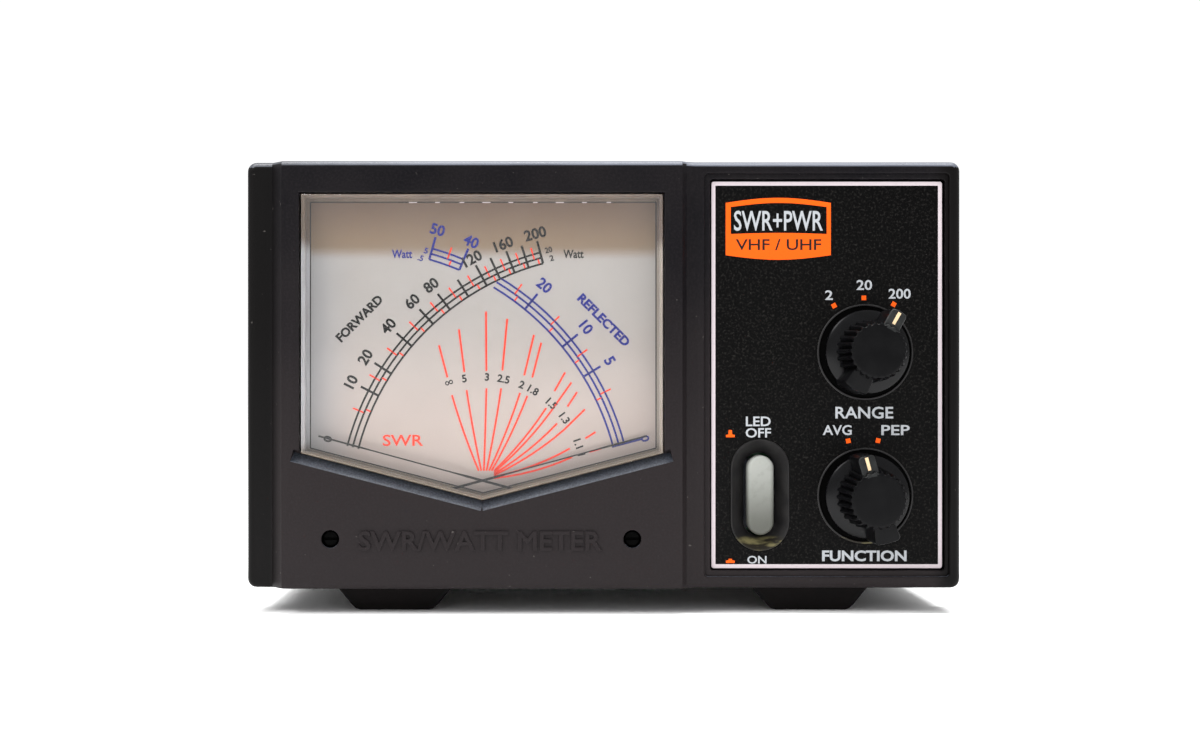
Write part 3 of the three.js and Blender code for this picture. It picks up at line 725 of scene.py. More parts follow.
# Painted highlight: a lighter copy of the knob plastic for the pointer's front faces.
POINTER_HIGHLIGHT = moulded(
    "knob_pointer_painted_highlight", (24, 25, 25), (34, 35, 35), 0.4, patch=2, grain=0.3, depth=0.006, specular=0.12
)
LEDGE_HIGHLIGHT = ledge_painted_highlight()
TOP_EDGE_HIGHLIGHT = top_edge_highlight()
WELL = well_plastic()
BUTTON = button_plastic()
BOARD = circuit_board()
COVER = cover_enamel()
WHITE_INK = printed("white_ink", (154, 157, 161), (116, 117, 120))
FRAME_INK = printed("frame_ink", (182, 172, 176), (150, 141, 145))
ORANGE_INK = printed("orange_ink", (222, 82, 8), (196, 70, 8))
CREAM_INK = printed("cream_ink", (196, 172, 138), (160, 136, 104))
DARK_INK = printed("dark_ink", (26, 22, 20), (52, 40, 30))
BLACK_INK = printed("black_ink", (8, 8, 10), (30, 29, 31))
BLUE_INK = printed("blue_ink", (12, 24, 112), (34, 44, 124))
RED_INK = printed("red_ink", (222, 50, 24), (220, 84, 60))
OUTLINE_INK = printed("outline_ink", (46, 42, 42), (84, 80, 78))
NEEDLE = moulded(
    "needle_enamel", (6, 6, 7), (12, 12, 13), 0.5, patch=5, grain=0.2, depth=0.003, specular=0.15
)
# Black plastic of the zero adjusters and the DC jack, also laid as painted shade on the adjuster bores and
# the knob recess floors.
BLACK_AND_HOLE_SHADE = moulded(
    "adjuster_plastic_and_hole_shade", (2, 2, 2), (5, 5, 5), 0.7, patch=2, grain=0.3, depth=0.004, specular=0.02
)
SWITCH = moulded("switch_plastic", (30, 34, 42), (40, 44, 54), 0.5, patch=5, grain=0.4, depth=0.01)
RUBBER = moulded("foot_rubber", (9, 7, 7), (16, 13, 13), 0.7, patch=6, grain=0.45, depth=0.03, specular=0.08)
PTFE = moulded("socket_insulator", (214, 210, 198), (230, 226, 216), 0.45, patch=4, grain=0.5, depth=0.006)
FERRITE = moulded("ferrite", (40, 40, 43), (56, 55, 57), 0.65, patch=3, grain=0.4, depth=0.02)
ZINC = metal("zinc_plate", (128, 131, 138), (156, 156, 153), 0.38)
STEEL = metal("turned_steel", (110, 112, 116), (140, 142, 146), 0.34, stretch=(1, 14, 1))
NICKEL = metal("nickel_plate", (112, 109, 102), (138, 134, 126), 0.2, stretch=(1, 8, 1), depth=0.002)
BRASS = metal("brass", (176, 136, 66), (206, 168, 92), 0.3)
COPPER = metal("enamelled_copper", (150, 78, 42), (184, 100, 58), 0.36, stretch=(1, 1, 9))
MAGNET = metal("cast_magnet", (84, 86, 90), (112, 114, 118), 0.5, grain=0.6, depth=0.02)

# ------------------------------------------------------------------ bezel

EDGE_R = 1.5                     # roundness of the bezel's front edge
CORNER_R = 2
PANEL_CORNER = 0.8
SHAFT_HOLE_R = 3.9
RECESS_R = 10.05                 # shallow round recess behind each knob
FACE_STEPS = [(-72, STRIP_Y), (-69.5, FACE_Y), (17, FACE_Y), (18, FACE_Y + 1.3), (20, RIGHT_Y)]


def face_at(x):
    """How far forward the bezel's face stands, across its width."""
    places = [(BEZEL_LOW.x, STRIP_Y), *FACE_STEPS, (BEZEL_HIGH.x, RIGHT_Y)]
    for (x0, y0), (x1, y1) in zip(places, places[1:]):
        if x <= x1:
            return y0 + (y1 - y0) * (x - x0) / (x1 - x0)
    return RIGHT_Y


def bezel_outline(inset):
    """The bezel seen from the front, with a point wherever its face changes level."""
    left, right = BEZEL_LOW.x + inset, BEZEL_HIGH.x - inset
    bottom, top = BEZEL_LOW.z + inset, BEZEL_HIGH.z - inset
    r = CORNER_R - inset
    breaks = [x for x, _ in FACE_STEPS]
    return (
        arc(right - r, bottom + r, r, -90, 0, 6)
        + arc(right - r, top - r, r, 0, 90, 6)
        + [(x, top) for x in reversed(breaks)]
        + arc(left + r, top - r, r, 90, 180, 6)
        + arc(left + r, bottom + r, r, 180, 270, 6)
        + [(x, bottom) for x in breaks]
    )


def bezel_blank():
    """The solid block of the bezel, its front edge rounded all the way round."""
    chamfer = 0.3
    rings = [
        [(x, RIM_Y, z) for x, z in bezel_outline(chamfer)],
        [(x, RIM_Y - chamfer, z) for x, z in bezel_outline(0)],
    ]
    turns = 5
    for i in range(turns + 1):
        angle = math.pi / 2 * i / turns
        inset = EDGE_R * (1 - math.cos(angle))
        back = EDGE_R * (1 - math.sin(angle))
        rings.append([(x, face_at(x) + back, z) for x, z in bezel_outline(inset)])
    blank = loft(rings)
    mesh = blank.data
    only(blank)
    for place, _ in FACE_STEPS:
        to_edit()
        bpy.ops.mesh.select_mode(type="VERT")
        bpy.ops.mesh.select_all(action="DESELECT")
        to_object()
        for vertex in mesh.vertices:
            on_line = abs(vertex.co.x / MM - place) < 0.01
            vertex.select = on_line and abs(vertex.co.y / MM - face_at(place)) < 0.01
        to_edit()
        bpy.ops.mesh.vert_connect()
        to_object()
    return blank


def ledge_cutter(side):
    """The sloping cut along one half of the V, falling back to the window's lower edge."""
    start = Vector((METER_X, 0, WINDOW_APEX))
    end = Vector((METER_X + side * WINDOW_HALF, 0, WINDOW_SHOULDER))
    along = (end - start).normalized()
    down = Vector((side * along.z, 0, -side * along.x))
    width, depth, overrun = 2.0, 2.8, 1.5
    section = [(-0.7, depth), (0, depth), (width, 0), (width + 0.3, -0.8), (-0.7, -0.8)]
    rings = []
    for place in (start - 0.3 * along, end + overrun * along):
        rings.append([place + down * d + Vector((0, FACE_Y + y, 0)) for d, y in section])
    return loft(rings)


def recess_outline(left, right, bottom, top, r):
    return lambda grow: rounded(left - grow, right + grow, bottom - grow, top + grow, r + grow)


def box_cutter(left, right, front, back, bottom, top):
    return plate(rectangle(left, right, bottom, top), front, back)


ADJUSTERS = [pivot_mm("forward_zero"), pivot_mm("reflected_zero")]


def bezel_moulding():
    inside = BEZEL_HIGH.x - BEZEL_WALL
    low, high = BEZEL_LOW.z + BEZEL_WALL, BEZEL_HIGH.z - BEZEL_WALL
    recess = recess_outline(
        PANEL_LOW.x - 1.5, PANEL_HIGH.x + 1, PANEL_LOW.z - 1.5, PANEL_HIGH.z + 1.4, PANEL_CORNER
    )
    seat = recess_outline(
        PANEL_LOW.x - GAP, PANEL_HIGH.x + GAP, PANEL_LOW.z - GAP, PANEL_HIGH.z + GAP, PANEL_CORNER
    )
    cutters = [
        box_cutter(-inside, inside, WALL_BACK, RIM_Y + 2, low, high),
        box_cutter(-69, 16, FACE_Y + 3, WALL_BACK + 0.5, low, high),
        flared(window, FACE_Y, WALL_BACK, 0.22),
        ledge_cutter(-1),
        ledge_cutter(1),
        flared(recess, RIGHT_Y, PANEL_Y - 1, 0.3),
        flared(seat, PANEL_Y - 1, PANEL_HIGH.y + GAP, 0.15),
    ]
    for at in (RANGE_AT, FUNCTION_AT):
        cutters.append(plate(circle(at.x, at.z, SHAFT_HOLE_R, 32), PANEL_Y, WALL_BACK + 1))
    cutters.append(plate(obround(6.5), PANEL_Y, WALL_BACK + 1))
    for at in ADJUSTERS:
        cutters.append(flared(lambda grow: circle(at.x, at.z, 1.9 + grow, 40), FACE_Y, RIM_Y, 0.22))
    return combine(bezel_blank(), cutters)


def on_ledge(middle, normal):
    sloping = normal.z > 0.6 and normal.y < -0.3
    return sloping and FACE_Y + 0.05 < middle.y < FACE_Y + 2.9 and middle.z < WINDOW_SHOULDER


def on_top_edge(middle, normal):
    return middle.z > BEZEL_HIGH.z - EDGE_R and normal.z > 0.35 and normal.y < -0.15


def near_line(middle, centres, r):
    """Whether a place is within a radius of one of some lines along Y."""
    return any(math.hypot(middle.x - at.x, middle.z - at.z) < r for at in centres)


def in_adjuster_bore(middle, normal):
    return middle.y > FACE_Y + 0.3 and near_line(middle, ADJUSTERS, 2)


bezel = finished(bezel_moulding(), "bezel_moulding", "case", BEZEL, ["front_bezel"], 28)
# The sloping ledge under the window takes its painted highlight.
refinish(bezel, LEDGE_HIGHLIGHT, on_ledge)
# The rounded top front edge takes its painted highlight.
refinish(bezel, TOP_EDGE_HIGHLIGHT, on_top_edge)
# Painted shade: the adjuster bores' walls are painted near black.
refinish(bezel, BLACK_AND_HOLE_SHADE, in_adjuster_bore)
face_letters = lettering(
    "SWR/WATT METER", -26.6, 15.9, 4.3, 52.5, weight=-0.01, front=FACE_Y - 0.45, thick=0.8, slope=0.03,
)
finished(face_letters, "face_lettering", "case", BEZEL)

# ------------------------------------------------------------------ control panel and its print


def control_panel():
    outline = rounded(PANEL_LOW.x, PANEL_HIGH.x, PANEL_LOW.z, PANEL_HIGH.z, PANEL_CORNER)
    body = soften(plate(outline, PANEL_Y, PANEL_HIGH.y), 0.12, 2)
    cutters = [plate(obround(6.4, 16), PANEL_Y - 1, PANEL_HIGH.y + 1)]
    for knob_at in (RANGE_AT, FUNCTION_AT):
        ring = lambda grow: circle(knob_at.x, knob_at.z, RECESS_R + grow, 72)
        cutters.append(flared(ring, PANEL_Y, PANEL_Y + 0.5, 0.14))
        shaft_hole = circle(knob_at.x, knob_at.z, SHAFT_HOLE_R, 32)
        cutters.append(plate(shaft_hole, PANEL_Y - 1, PANEL_HIGH.y + 1))
    return combine(body, cutters)


def button_well():
    """A sloping funnel that the push button stands in, with a thin raised lip."""
    profile = [
        (6.36, 1.3), (6.36, 0), (6.28, -0.14), (6.14, -0.16), (6.02, -0.02), (5.7, 0.3),
        (3.75, 2.3), (3.42, 2.7), (3.35, 3), (3.35, 3.6), (4.4, 3.6),
    ]
    return loft([at_depth(obround(r, 16), PANEL_Y + deep) for r, deep in profile], endless=True)


PANEL_FRONT = PANEL_Y - PRINT


def panel_frame():
    """The printed line that frames the panel."""
    left, right = PANEL_LOW.x + 0.1, PANEL_HIGH.x - 0.2
    bottom, top = PANEL_LOW.z + 0.12, PANEL_HIGH.z - 0.2
    line = 0.85
    body = plate(rounded(left, right, bottom, top, 0.5), PANEL_FRONT, PANEL_Y)
    opening = rounded(left + line, right - line, bottom + line, top - line, 0.15)
    return combine(body, [plate(opening, PANEL_FRONT - 1, PANEL_Y + 1)])


def recess_lip(at):
    """A thin raised lip round a knob's recess."""
    profile = [(10.06, 0.2), (10.06, -0.08), (10.16, -0.16), (10.34, -0.16), (10.46, -0.06), (10.46, 0.2)]
    return lathe(at.x, at.z, [(r, PANEL_Y + deep) for r, deep in profile], endless=True, count=72)


def on_panel(words, x, z, height, width, weight=0.016):
    return lettering(words, x, z, height, width, weight=weight, front=PANEL_FRONT)


def panel_words():
    return joined([
        on_panel("2", 49.2, 69.1, 2.1, 1.7),
        on_panel("20", 56.9, 71.3, 2.2, 3.4),
        on_panel("200", 64.6, 69.4, 2.2, 4.8),
        on_panel("RANGE", 56.9, 43.5, 2.6, 12.6),
        on_panel("AVG", 51.0, 39.7, 2.2, 6.3),
        on_panel("PEP", 63.7, 39.7, 2.2, 6.2),
        on_panel("FUNCTION", 56.9, 12.3, 2.4, 18.4, weight=0.03),
        on_panel("LED", 33.8, 41.6, 2.1, 5.4),
        on_panel("OFF", 33.8, 39.1, 2.1, 5.5),
        on_panel("ON", 33.5, 11.45, 1.7, 4.2),
    ])


def mark(x, z, turn=0):
    """A small printed square, turned in degrees."""
    angles = [math.radians(turn + a) for a in (45, 135, 225, 315)]
    reach = 1 / math.sqrt(2)
    corners = [(x + reach * math.cos(a), z + reach * math.sin(a)) for a in angles]
    return plate(corners, PANEL_FRONT, PANEL_Y)


def button_sign(x, z, stem):
    """A push-push sign: a flat base with a knob standing high on it, or pressed low."""
    right = [(0.95, -0.65), (0.95, -0.15), (0.4, -0.05), (0.35, stem)]
    outline = [(x - 0.95, z - 0.65)]
    outline += [(x + across, z + up) for across, up in right]
    outline += [(x - across, z + up) for across, up in reversed(right[1:])]
    return plate(outline, PANEL_FRONT, PANEL_Y)


def panel_marks():
    return joined([
        mark(50.3, 66.8, turn=28), mark(56.8, 68.5), mark(63.3, 67.1, turn=-28),
        mark(53.4, 37.35, turn=12), mark(59.9, 37.4, turn=-12),
        button_sign(27.7, 38.8, 0.9), button_sign(27.7, 11.4, 0.25),
    ])


def bowed(left, right, low, high, bow_low, bow_high):
    """A rectangle whose top and bottom edges bow outwards, or inwards where the bow is negative."""
    shares = [i / 12 for i in range(13)]
    def edge(start, end, level, bow):
        return [(start + (end - start) * t, level + bow * math.sin(math.pi * t)) for t in shares]
    return edge(left, right, low, -bow_low) + edge(right, left, high, bow_high)


def badge():
    """An orange badge with a dark window across its upper half."""
    body = plate(bowed(26.7, 49.6, 77.8, 89.2, 1.0, 1.1), PANEL_FRONT, PANEL_Y)
    opening = plate(bowed(27.8, 48.7, 82.4, 88.3, -0.25, 0.9), PANEL_FRONT - 1, PANEL_Y + 1)
    return combine(body, [opening])


def in_knob_recess(middle, normal):
    return middle.y > PANEL_Y + 0.1 and near_line(middle, (RANGE_AT, FUNCTION_AT), RECESS_R + 0.05)


panel = finished(control_panel(), "control_panel", "case", PANEL, ["control_panel_plate"])
# Painted shade: the floors of the knob recesses are painted near black.
refinish(panel, BLACK_AND_HOLE_SHADE, in_knob_recess)
for name, at in (("range", RANGE_AT), ("function", FUNCTION_AT)):
    finished(recess_lip(at), f"{name}_recess_lip", "case", WELL)
finished(button_well(), "button_well", "case", WELL, smooth_below=38)
finished(panel_frame(), "panel_frame_print", "case", FRAME_INK)
finished(panel_words(), "panel_word_print", "case", WHITE_INK)
finished(panel_marks(), "panel_mark_print", "case", ORANGE_INK)
finished(badge(), "badge_print", "case", ORANGE_INK)
badge_words = on_panel("SWR+PWR", 38.2, 85.3, 4.4, 19.4, weight=0.012)
finished(badge_words, "badge_word_print", "case", WHITE_INK)
band_words = lettering("VHF / UHF", 38.2, 80.1, 2.4, 18.6, weight=0.01, front=PANEL_FRONT - PRINT)
finished(band_words, "badge_band_print", "case", DARK_INK)

# ------------------------------------------------------------------ meter lens


def lens_pane():
    pane = plate(window(-0.3), LENS_LOW.y, LENS_LOW.y + 0.7)
    return soften(pane, 0.18, 2)


def lens_rim():
    """The lens's thick moulded edge, stepped back in two narrow bands, with its flange."""
    profile = [
        (-0.32, 0.75), (-0.55, 0.85), (-0.6, 1.7), (-0.85, 1.9), (-0.9, 4.3),
        (LENS_FLANGE, 4.3), (LENS_FLANGE, 2.9), (-0.32, 2.9),
    ]
    return loft([at_depth(window(grow), LENS_LOW.y + deep) for grow, deep in profile], endless=True)


finished(lens_pane(), "lens_pane", "case", LENS, ["meter_lens"])
finished(lens_rim(), "lens_rim", "case", RIM, smooth_below=10)

# ------------------------------------------------------------------ dial

DIAL_FRONT = DIAL_Y - PRINT
FORWARD_ARCS = (57.2, 58.5, 59.7)
REFLECTED_ARCS = (58.4, 59.7, 60.9)
LABEL_OUT = 4.3                  # a number's middle, outwards of its scale's outer arc
LONG_FROM = 60                   # the swing in degrees past which marks are longer

# Each scale's marks: degrees that the needle has swung from level, and the number there.
FORWARD_MARKS = [
    (27.2, "10"), (32.8, "20"), (40.4, "40"), (47.2, "60"), (52.1, "80"), (57.1, ""), (61.8, "120"),
    (65.1, ""), (68.6, "160"), (71.9, ""), (75.2, "200"),
]
FORWARD_MINORS = [22.5, 30.2, 36.8, 43.9, 49.8, 54.7, 59.3, 63.3, 66.9, 70.3, 73.6]
REFLECTED_MARKS = [(31.3, "5"), (39.2, "10"), (50.7, "20"), (67.3, "40"), (74.2, "50")]
REFLECTED_MINORS = [26.3, 35.6, 44.4, 54.4, 70.5]
REFLECTED_GAP = (59.0, 67.3)     # left open where the other scale crosses

SWR_CENTRE = Vector((-26.4, 0, 28.9))
RAY_WIDTH = 0.42
# Rays of standing-wave ratio: the number, its direction, then the tip, the foot of the upper part
# and the head of the lower part, each as (degrees, distance). Those with no number run unbroken.
SWR_RAYS = [
    ("\u221e", 109.4, (108.2, 30.9), (109.3, 23.6), (110.3, 19.6)),
    ("5", 100.5, (99.1, 33.3), (99.8, 23.8), (100.4, 19.8)),
    ("3", 87.6, (88.9, 36.8), (88.1, 23.7), (87.7, 19.9)),
    ("2.5", 78.2, (81.3, 35.6), (79.7, 24.2), (78.5, 20.3)),
    ("2", 67.4, (70.4, 33.6), (68.1, 24.5), (66.5, 20.6)),
    ("1.8", 60.2, (66.7, 32.6), (63.9, 24.8), (61.7, 20.7)),
    ("1.5", 47.4, (52.2, 29.6), (50.6, 24.9), (48.0, 20.9)),
    ("", 0, (47.3, 28.8), (44.5, 21.0), (44.5, 21.0)),
    ("1.3", 36.4, (42.5, 28.2), (40.3, 24.5), (36.5, 20.4)),
    ("", 0, (34.1, 27.2), (31.0, 21.0), (31.0, 21.0)),
    ("1.1", 20.0, (22.4, 26.9), (21.3, 24.3), (19.0, 20.3)),
    ("1", 13.6, (14.2, 26.9), (14.0, 24.2), (13.5, 20.3)),
]


def polar(pivot, angle, r):
    return (pivot.x + r * math.cos(math.radians(angle)), pivot.z + r * math.sin(math.radians(angle)))


def on_dial(words, x, z, height, width=0, turn=0, weight=0.03):
    return lettering(words, x, z, height, width, turn, weight, front=DIAL_FRONT)


def tick(pivot, angle, inner, outer, width):
    return ribbon([polar(pivot, angle, inner), polar(pivot, angle, outer)], width, DIAL_FRONT)


def number(pivot, angle, r, words, height):
    """A number standing square to its scale, its head outwards."""
    x, z = polar(pivot, angle, r)
    return on_dial(words, x, z, height, turn=angle - 90)


def scale(pivot, arcs, spans, angle_of, marks):
    """One scale's arcs, marks and numbers."""
    inner, _, outer = arcs
    made = []
    for start, end in spans:
        made += [arc_strip(pivot, r, angle_of(start), angle_of(end), 0.42, DIAL_FRONT) for r in arcs]
    for swing, words in marks:
        angle = angle_of(swing)
        reach = 2.6 if swing > LONG_FROM else 1.9
        made.append(tick(pivot, angle, inner, outer + reach, 0.5))
        if words:
            made.append(number(pivot, angle, outer + LABEL_OUT, words, 2.5))
    return made


def forward_angle(swing):
    return 180 - swing


def reflected_angle(swing):
    return swing


def dial_black():
    pivot = FORWARD_PIVOT
    made = scale(pivot, FORWARD_ARCS, [(14.6, 75.2)], forward_angle, FORWARD_MARKS)
    made += [
        on_dial("Watt", -6.4, 78.4, 1.9, 4.5, weight=0.025),
        on_dial("0", -60.6, 37.6, 1.9, 1.4, turn=75),
        on_dial("20", -11.9, 79.3, 1.3, 1.6, turn=14),
        on_dial("2", -11.2, 77.5, 1.3, 0.9, turn=14),
        on_dial("FORWARD", -53.6, 64.2, 2.1, 13.2, turn=45, weight=0.04),
    ]
    for words, angle, *_ in SWR_RAYS:
        x, z = polar(SWR_CENTRE, angle, 22.4)
        height, width, weight = (1.0, 1.8, 0.01) if words == "\u221e" else (1.75, 0, 0.03)
        if words:
            made.append(on_dial(words, x, z, height, width, turn=angle - 90, weight=weight))
    return joined(made)


def dial_blue():
    pivot = REFLECTED_PIVOT
    low_end, high_start = REFLECTED_GAP
    spans = [(14.6, low_end), (high_start, 74.2)]
    made = scale(pivot, REFLECTED_ARCS, spans, reflected_angle, REFLECTED_MARKS)
    made += [
        tick(pivot, 14.8, REFLECTED_ARCS[0] - 0.3, REFLECTED_ARCS[2] + 4, 0.4),
        on_dial("Watt", -44.2, 78.4, 1.9, 4.5, weight=0.025),
        on_dial("0", 9.4, 37.7, 1.9, 1.4, turn=-75),
        on_dial("5", -38.9, 79.1, 1.3, 0.9, turn=-16),
        on_dial(".5", -40.1, 77.5, 1.3, 1.2, turn=-16),
        on_dial("REFLECTED", 0.3, 63.8, 2.1, 15.0, turn=-45, weight=0.04),
    ]
    return joined(made)


def dial_red():
    made = []
    for pivot, arcs, angle_of, minors in (
        (FORWARD_PIVOT, FORWARD_ARCS, forward_angle, FORWARD_MINORS),
        (REFLECTED_PIVOT, REFLECTED_ARCS, reflected_angle, REFLECTED_MINORS),
    ):
        inner, middle, outer = arcs
        for swing in minors:
            angle = angle_of(swing)
            made.append(tick(pivot, angle, middle, outer + 1.5, 0.34))
            made.append(tick(pivot, angle - 0.8, inner + 0.1, middle, 0.34))
    for i, (words, _, tip, upper_end, lower_start) in enumerate(SWR_RAYS):
        made.append(ribbon([polar(SWR_CENTRE, *tip), polar(SWR_CENTRE, *upper_end)], RAY_WIDTH, DIAL_FRONT))
        start = Vector(polar(SWR_CENTRE, *(lower_start if words else upper_end)))
        foot = Vector((min(-27.3 + 0.57 * i, -23.9), 30.6 - 0.33 * max(0, i - 6)))
        lean = math.cos(math.radians(lower_start[0]))
        bow = (start - foot).orthogonal().normalized() * 1.5 * lean
        middle = (start + foot) / 2 - bow
        shares = [n / 6 for n in range(7)]
        curve = [start * (1 - t) ** 2 + middle * 2 * t * (1 - t) + foot * t * t for t in shares]
        made.append(ribbon(curve, RAY_WIDTH, DIAL_FRONT))
    made.append(on_dial("SWR", -44.0, 37.3, 2.5, 8.9, weight=0.012))
    return joined(made)


OUTLINE_IN = -1.3                # the dial's printed outline, inwards of the window's edge


def dial_outline():
    """The fine dark line round the dial."""
    corners = window(OUTLINE_IN)
    lines = [ribbon([a, b], 0.26, DIAL_FRONT) for a, b in zip(corners, corners[1:] + corners[:1])]
    return joined(lines)


def dial_margin():
    """The pale border outside the printed outline."""
    front = DIAL_Y - PRINT / 2
    corners = [(1.6, front), (OUTLINE_IN, front), (OUTLINE_IN, DIAL_Y), (1.6, DIAL_Y)]
    return loft([at_depth(window(grow), y) for grow, y in corners], endless=True)


def dial_painted_glints():
    """A row of small bright marks along the dial's top edge, painted highlights where the lamps above glint.
    """
    glints = []
    for i in range(9):
        x = METER_X - 15.5 + 5.4 * i
        half = 0.5 if i % 3 else 0.9
        glints.append(plate(rectangle(x - half, x + half, 89.65, 89.85), DIAL_Y - 2 * PRINT, DIAL_Y))
    return joined(glints)


def dial_card():
    low, high = DIAL_LOW, DIAL_HIGH
    shoulder = 31
    outline = [(low.x, high.z), (low.x, shoulder), (METER_X, low.z), (high.x, shoulder), (high.x, high.z)]
    return soften(plate(outline, DIAL_Y, high.y), 0.08, 1)


finished(dial_card(), "dial_card", "case", DIAL, ["dial_plate"])
finished(dial_black(), "dial_black_print", "case", BLACK_INK)
finished(dial_blue(), "dial_blue_print", "case", BLUE_INK)
finished(dial_red(), "dial_red_print", "case", RED_INK)
finished(dial_outline(), "dial_outline_print", "case", OUTLINE_INK)
# The margin takes the rim's finish, its painted light and shade included.
finished(dial_margin(), "dial_margin", "case", RIM)
# Painted glints of the lamps along the dial's top edge.
finished(dial_painted_glints(), "dial_painted_glints", "case", FRAME_INK)

# ------------------------------------------------------------------ needles


def needle(pivot, angle, front):
    """A thin pointer with a stouter root, a hub and a balance weight behind it."""
    back = front + 0.5
    upper = [(-7, 0.5), (0, 0.5), (20, 0.27), (32, 0.25), (36, 0.14), (54, 0.14), (57, 0.2), (66.1, 0.17)]
    outline = upper + [(r, -half) for r, half in reversed(upper)]
    turn = Matrix.Rotation(math.radians(angle), 2)
    centre = Vector((pivot.x, pivot.z))

    def placed(points):
        return [tuple(centre + turn @ Vector(point)) for point in points]

    arm = plate(placed(outline), front, back)
    weight = plate(placed([(-7, -1.5), (-4.6, -1.5), (-4.6, 1.5), (-7, 1.5)]), front, back)
    hub = lathe(pivot.x, pivot.z, [(1.9, front - 0.02), (2, front + 0.1), (2, back)], count=32)
    combine(arm, [weight, hub], "UNION")
    return combine(arm, [plate(circle(pivot.x, pivot.z, 0.8, 24), front - 1, back + 1)])


for name, pivot, angle in (
    ("forward", FORWARD_PIVOT, 180 - NEEDLE_REST),
    ("reflected", REFLECTED_PIVOT, NEEDLE_REST),
):
    arm = needle(pivot, angle, box_mm(f"{name}_needle")[0].y)
    finished(arm, f"{name}_pointer_arm", f"{name}_pointer", NEEDLE, [f"{name}_needle"])

# ------------------------------------------------------------------ knobs

FLUTES = 26
FLUTE_STEPS = (0, 0, 0.25, 0.8, 1, 0.8, 0.25, 0)


def fluted(at, r, depth):
    """A circle with round grooves cut into it."""
    count = FLUTES * len(FLUTE_STEPS)
    points = []
    for i in range(count):
        angle = 2 * math.pi * i / count
        radius = r - depth * FLUTE_STEPS[i % len(FLUTE_STEPS)]
        points.append((at.x + radius * math.cos(angle), at.z + radius * math.sin(angle)))
    return points


def knob_skirt(at):
    """The knob's wide base: a shallow cone with a rounded rim, hollow behind."""
    profile = [
        (8.6, 0), (8.95, 1.6), (9.1, 2.9), (8.98, 3.3), (8.7, 3.5),
        (6.9, 3.95), (6.3, 4), (4.5, 4), (4.5, 2.8), (7.6, 2.8), (7.6, 0),
    ]
    return lathe(at.x, at.z, [(r, KNOB_SEAT - ahead) for r, ahead in profile], endless=True, count=72)


def knob_grip(at):
    """The fluted grip with its plain round cap."""
    front = KNOB_FRONT
    rings = [
        (6.9, 0.95, KNOB_SEAT - 3.2), (6.3, 0.95, front + 1.6), (6.1, 0.8, front + 0.8),
        (5.95, 0.5, front + 0.4), (5.78, 0.2, front + 0.15), (5.5, 0, front + 0.03),
        (5.1, 0, front), (2.5, 0, front + 0.03),
    ]
    return loft([at_depth(fluted(at, r, depth), y) for r, depth, y in rings])


def turned_plan(at, degrees_clockwise):
    """Turns (out along the pointer, across it) into a place on the panel."""
    out = Vector((math.sin(math.radians(degrees_clockwise)), math.cos(math.radians(degrees_clockwise))))
    across = Vector((out.y, -out.x))
    return lambda r, side: tuple(Vector((at.x, at.z)) + out * r + across * side)


def wing(plan, half_widths, reach, base_y, inner_y, outer_y):
    """A radial wing: straight or flared sides, a rounded outer end and a front that slopes away."""
    inner_half, outer_half = half_widths
    inner_r = 3.0
    corner = 0.7
    outline = [
        (inner_r, -inner_half), (reach - corner, -outer_half), (reach - 0.2, -outer_half + 0.22),
        (reach, -outer_half + corner), (reach + 0.12, 0), (reach, outer_half - corner),
        (reach - 0.2, outer_half - 0.22), (reach - corner, outer_half), (inner_r, inner_half),
    ]
    def front_at(r):
        return inner_y + (outer_y - inner_y) * (r - inner_r) / (reach - inner_r)
    rings = [
        [(*plan(r, side), base_y) for r, side in outline],
        [(*plan(r, side), front_at(r)) for r, side in outline],
    ]
    body = loft([[(x, y, z) for x, z, y in ring] for ring in rings])
    return soften(body, 0.35, 3, 50)


def on_pointer(at, degrees_clockwise):
    """Picks out the front of the pointer, outside the round grip, which is painted lighter as a highlight.
    """
    tip = Vector(turned_plan(at, degrees_clockwise)(8, 0))
    return lambda middle, normal: (Vector((middle.x, middle.z)) - tip).length < 3 and normal.y < -0.4


def knob_parts(at, degrees_clockwise):
    ahead = turned_plan(at, degrees_clockwise)
    behind = turned_plan(at, degrees_clockwise + 180)
    base_y = KNOB_SEAT - 2.2
    pointer = wing(ahead, (1.8, 1.8), 9.55, base_y, KNOB_FRONT + 0.7, KNOB_FRONT + 1.3)
    tail = wing(behind, (1.9, 2.7), 9.3, base_y, KNOB_FRONT + 0.8, KNOB_FRONT + 1.6)
    grip = combine(knob_grip(at), [pointer, tail], "UNION")
    line_front = KNOB_FRONT + 1.02
    corners = [ahead(r, side) for r, side in rectangle(5.5, 9.25, -0.34, 0.34)]
    line = plate(corners, line_front, line_front + 1)
    return grip, line


for name, at, degrees in (("range", RANGE_AT, RANGE_ANGLE), ("function", FUNCTION_AT, FUNCTION_ANGLE)):
    control = f"{name}_control"
    grip, line = knob_parts(at, degrees)
    finished(grip, f"{name}_knob_grip", control, KNOB, [f"{name}_knob"], 30)
    # The pointer's front faces take the painted highlight.
    refinish(grip, POINTER_HIGHLIGHT, on_pointer(at, degrees))
    finished(knob_skirt(at), f"{name}_knob_skirt", control, SKIRT, smooth_below=30)
    finished(line, f"{name}_knob_line", control, CREAM_INK)

# ------------------------------------------------------------------ push button


def light_button():
    front = BUTTON_LOW.y
    rings = [(BUTTON_R - 0.1, BUTTON_HIGH.y), (BUTTON_R, BUTTON_HIGH.y - 0.2)]
    round_r = 0.9
    for i in range(6):
        angle = math.pi / 2 * i / 5
        inset = round_r * (1 - math.cos(angle))
        rings.append((BUTTON_R - inset, front + round_r * (1 - math.sin(angle)) + 0.04))
    rings.append((BUTTON_R - 1.7, front))
    return loft([at_depth(obround(r, 16), y) for r, y in rings])


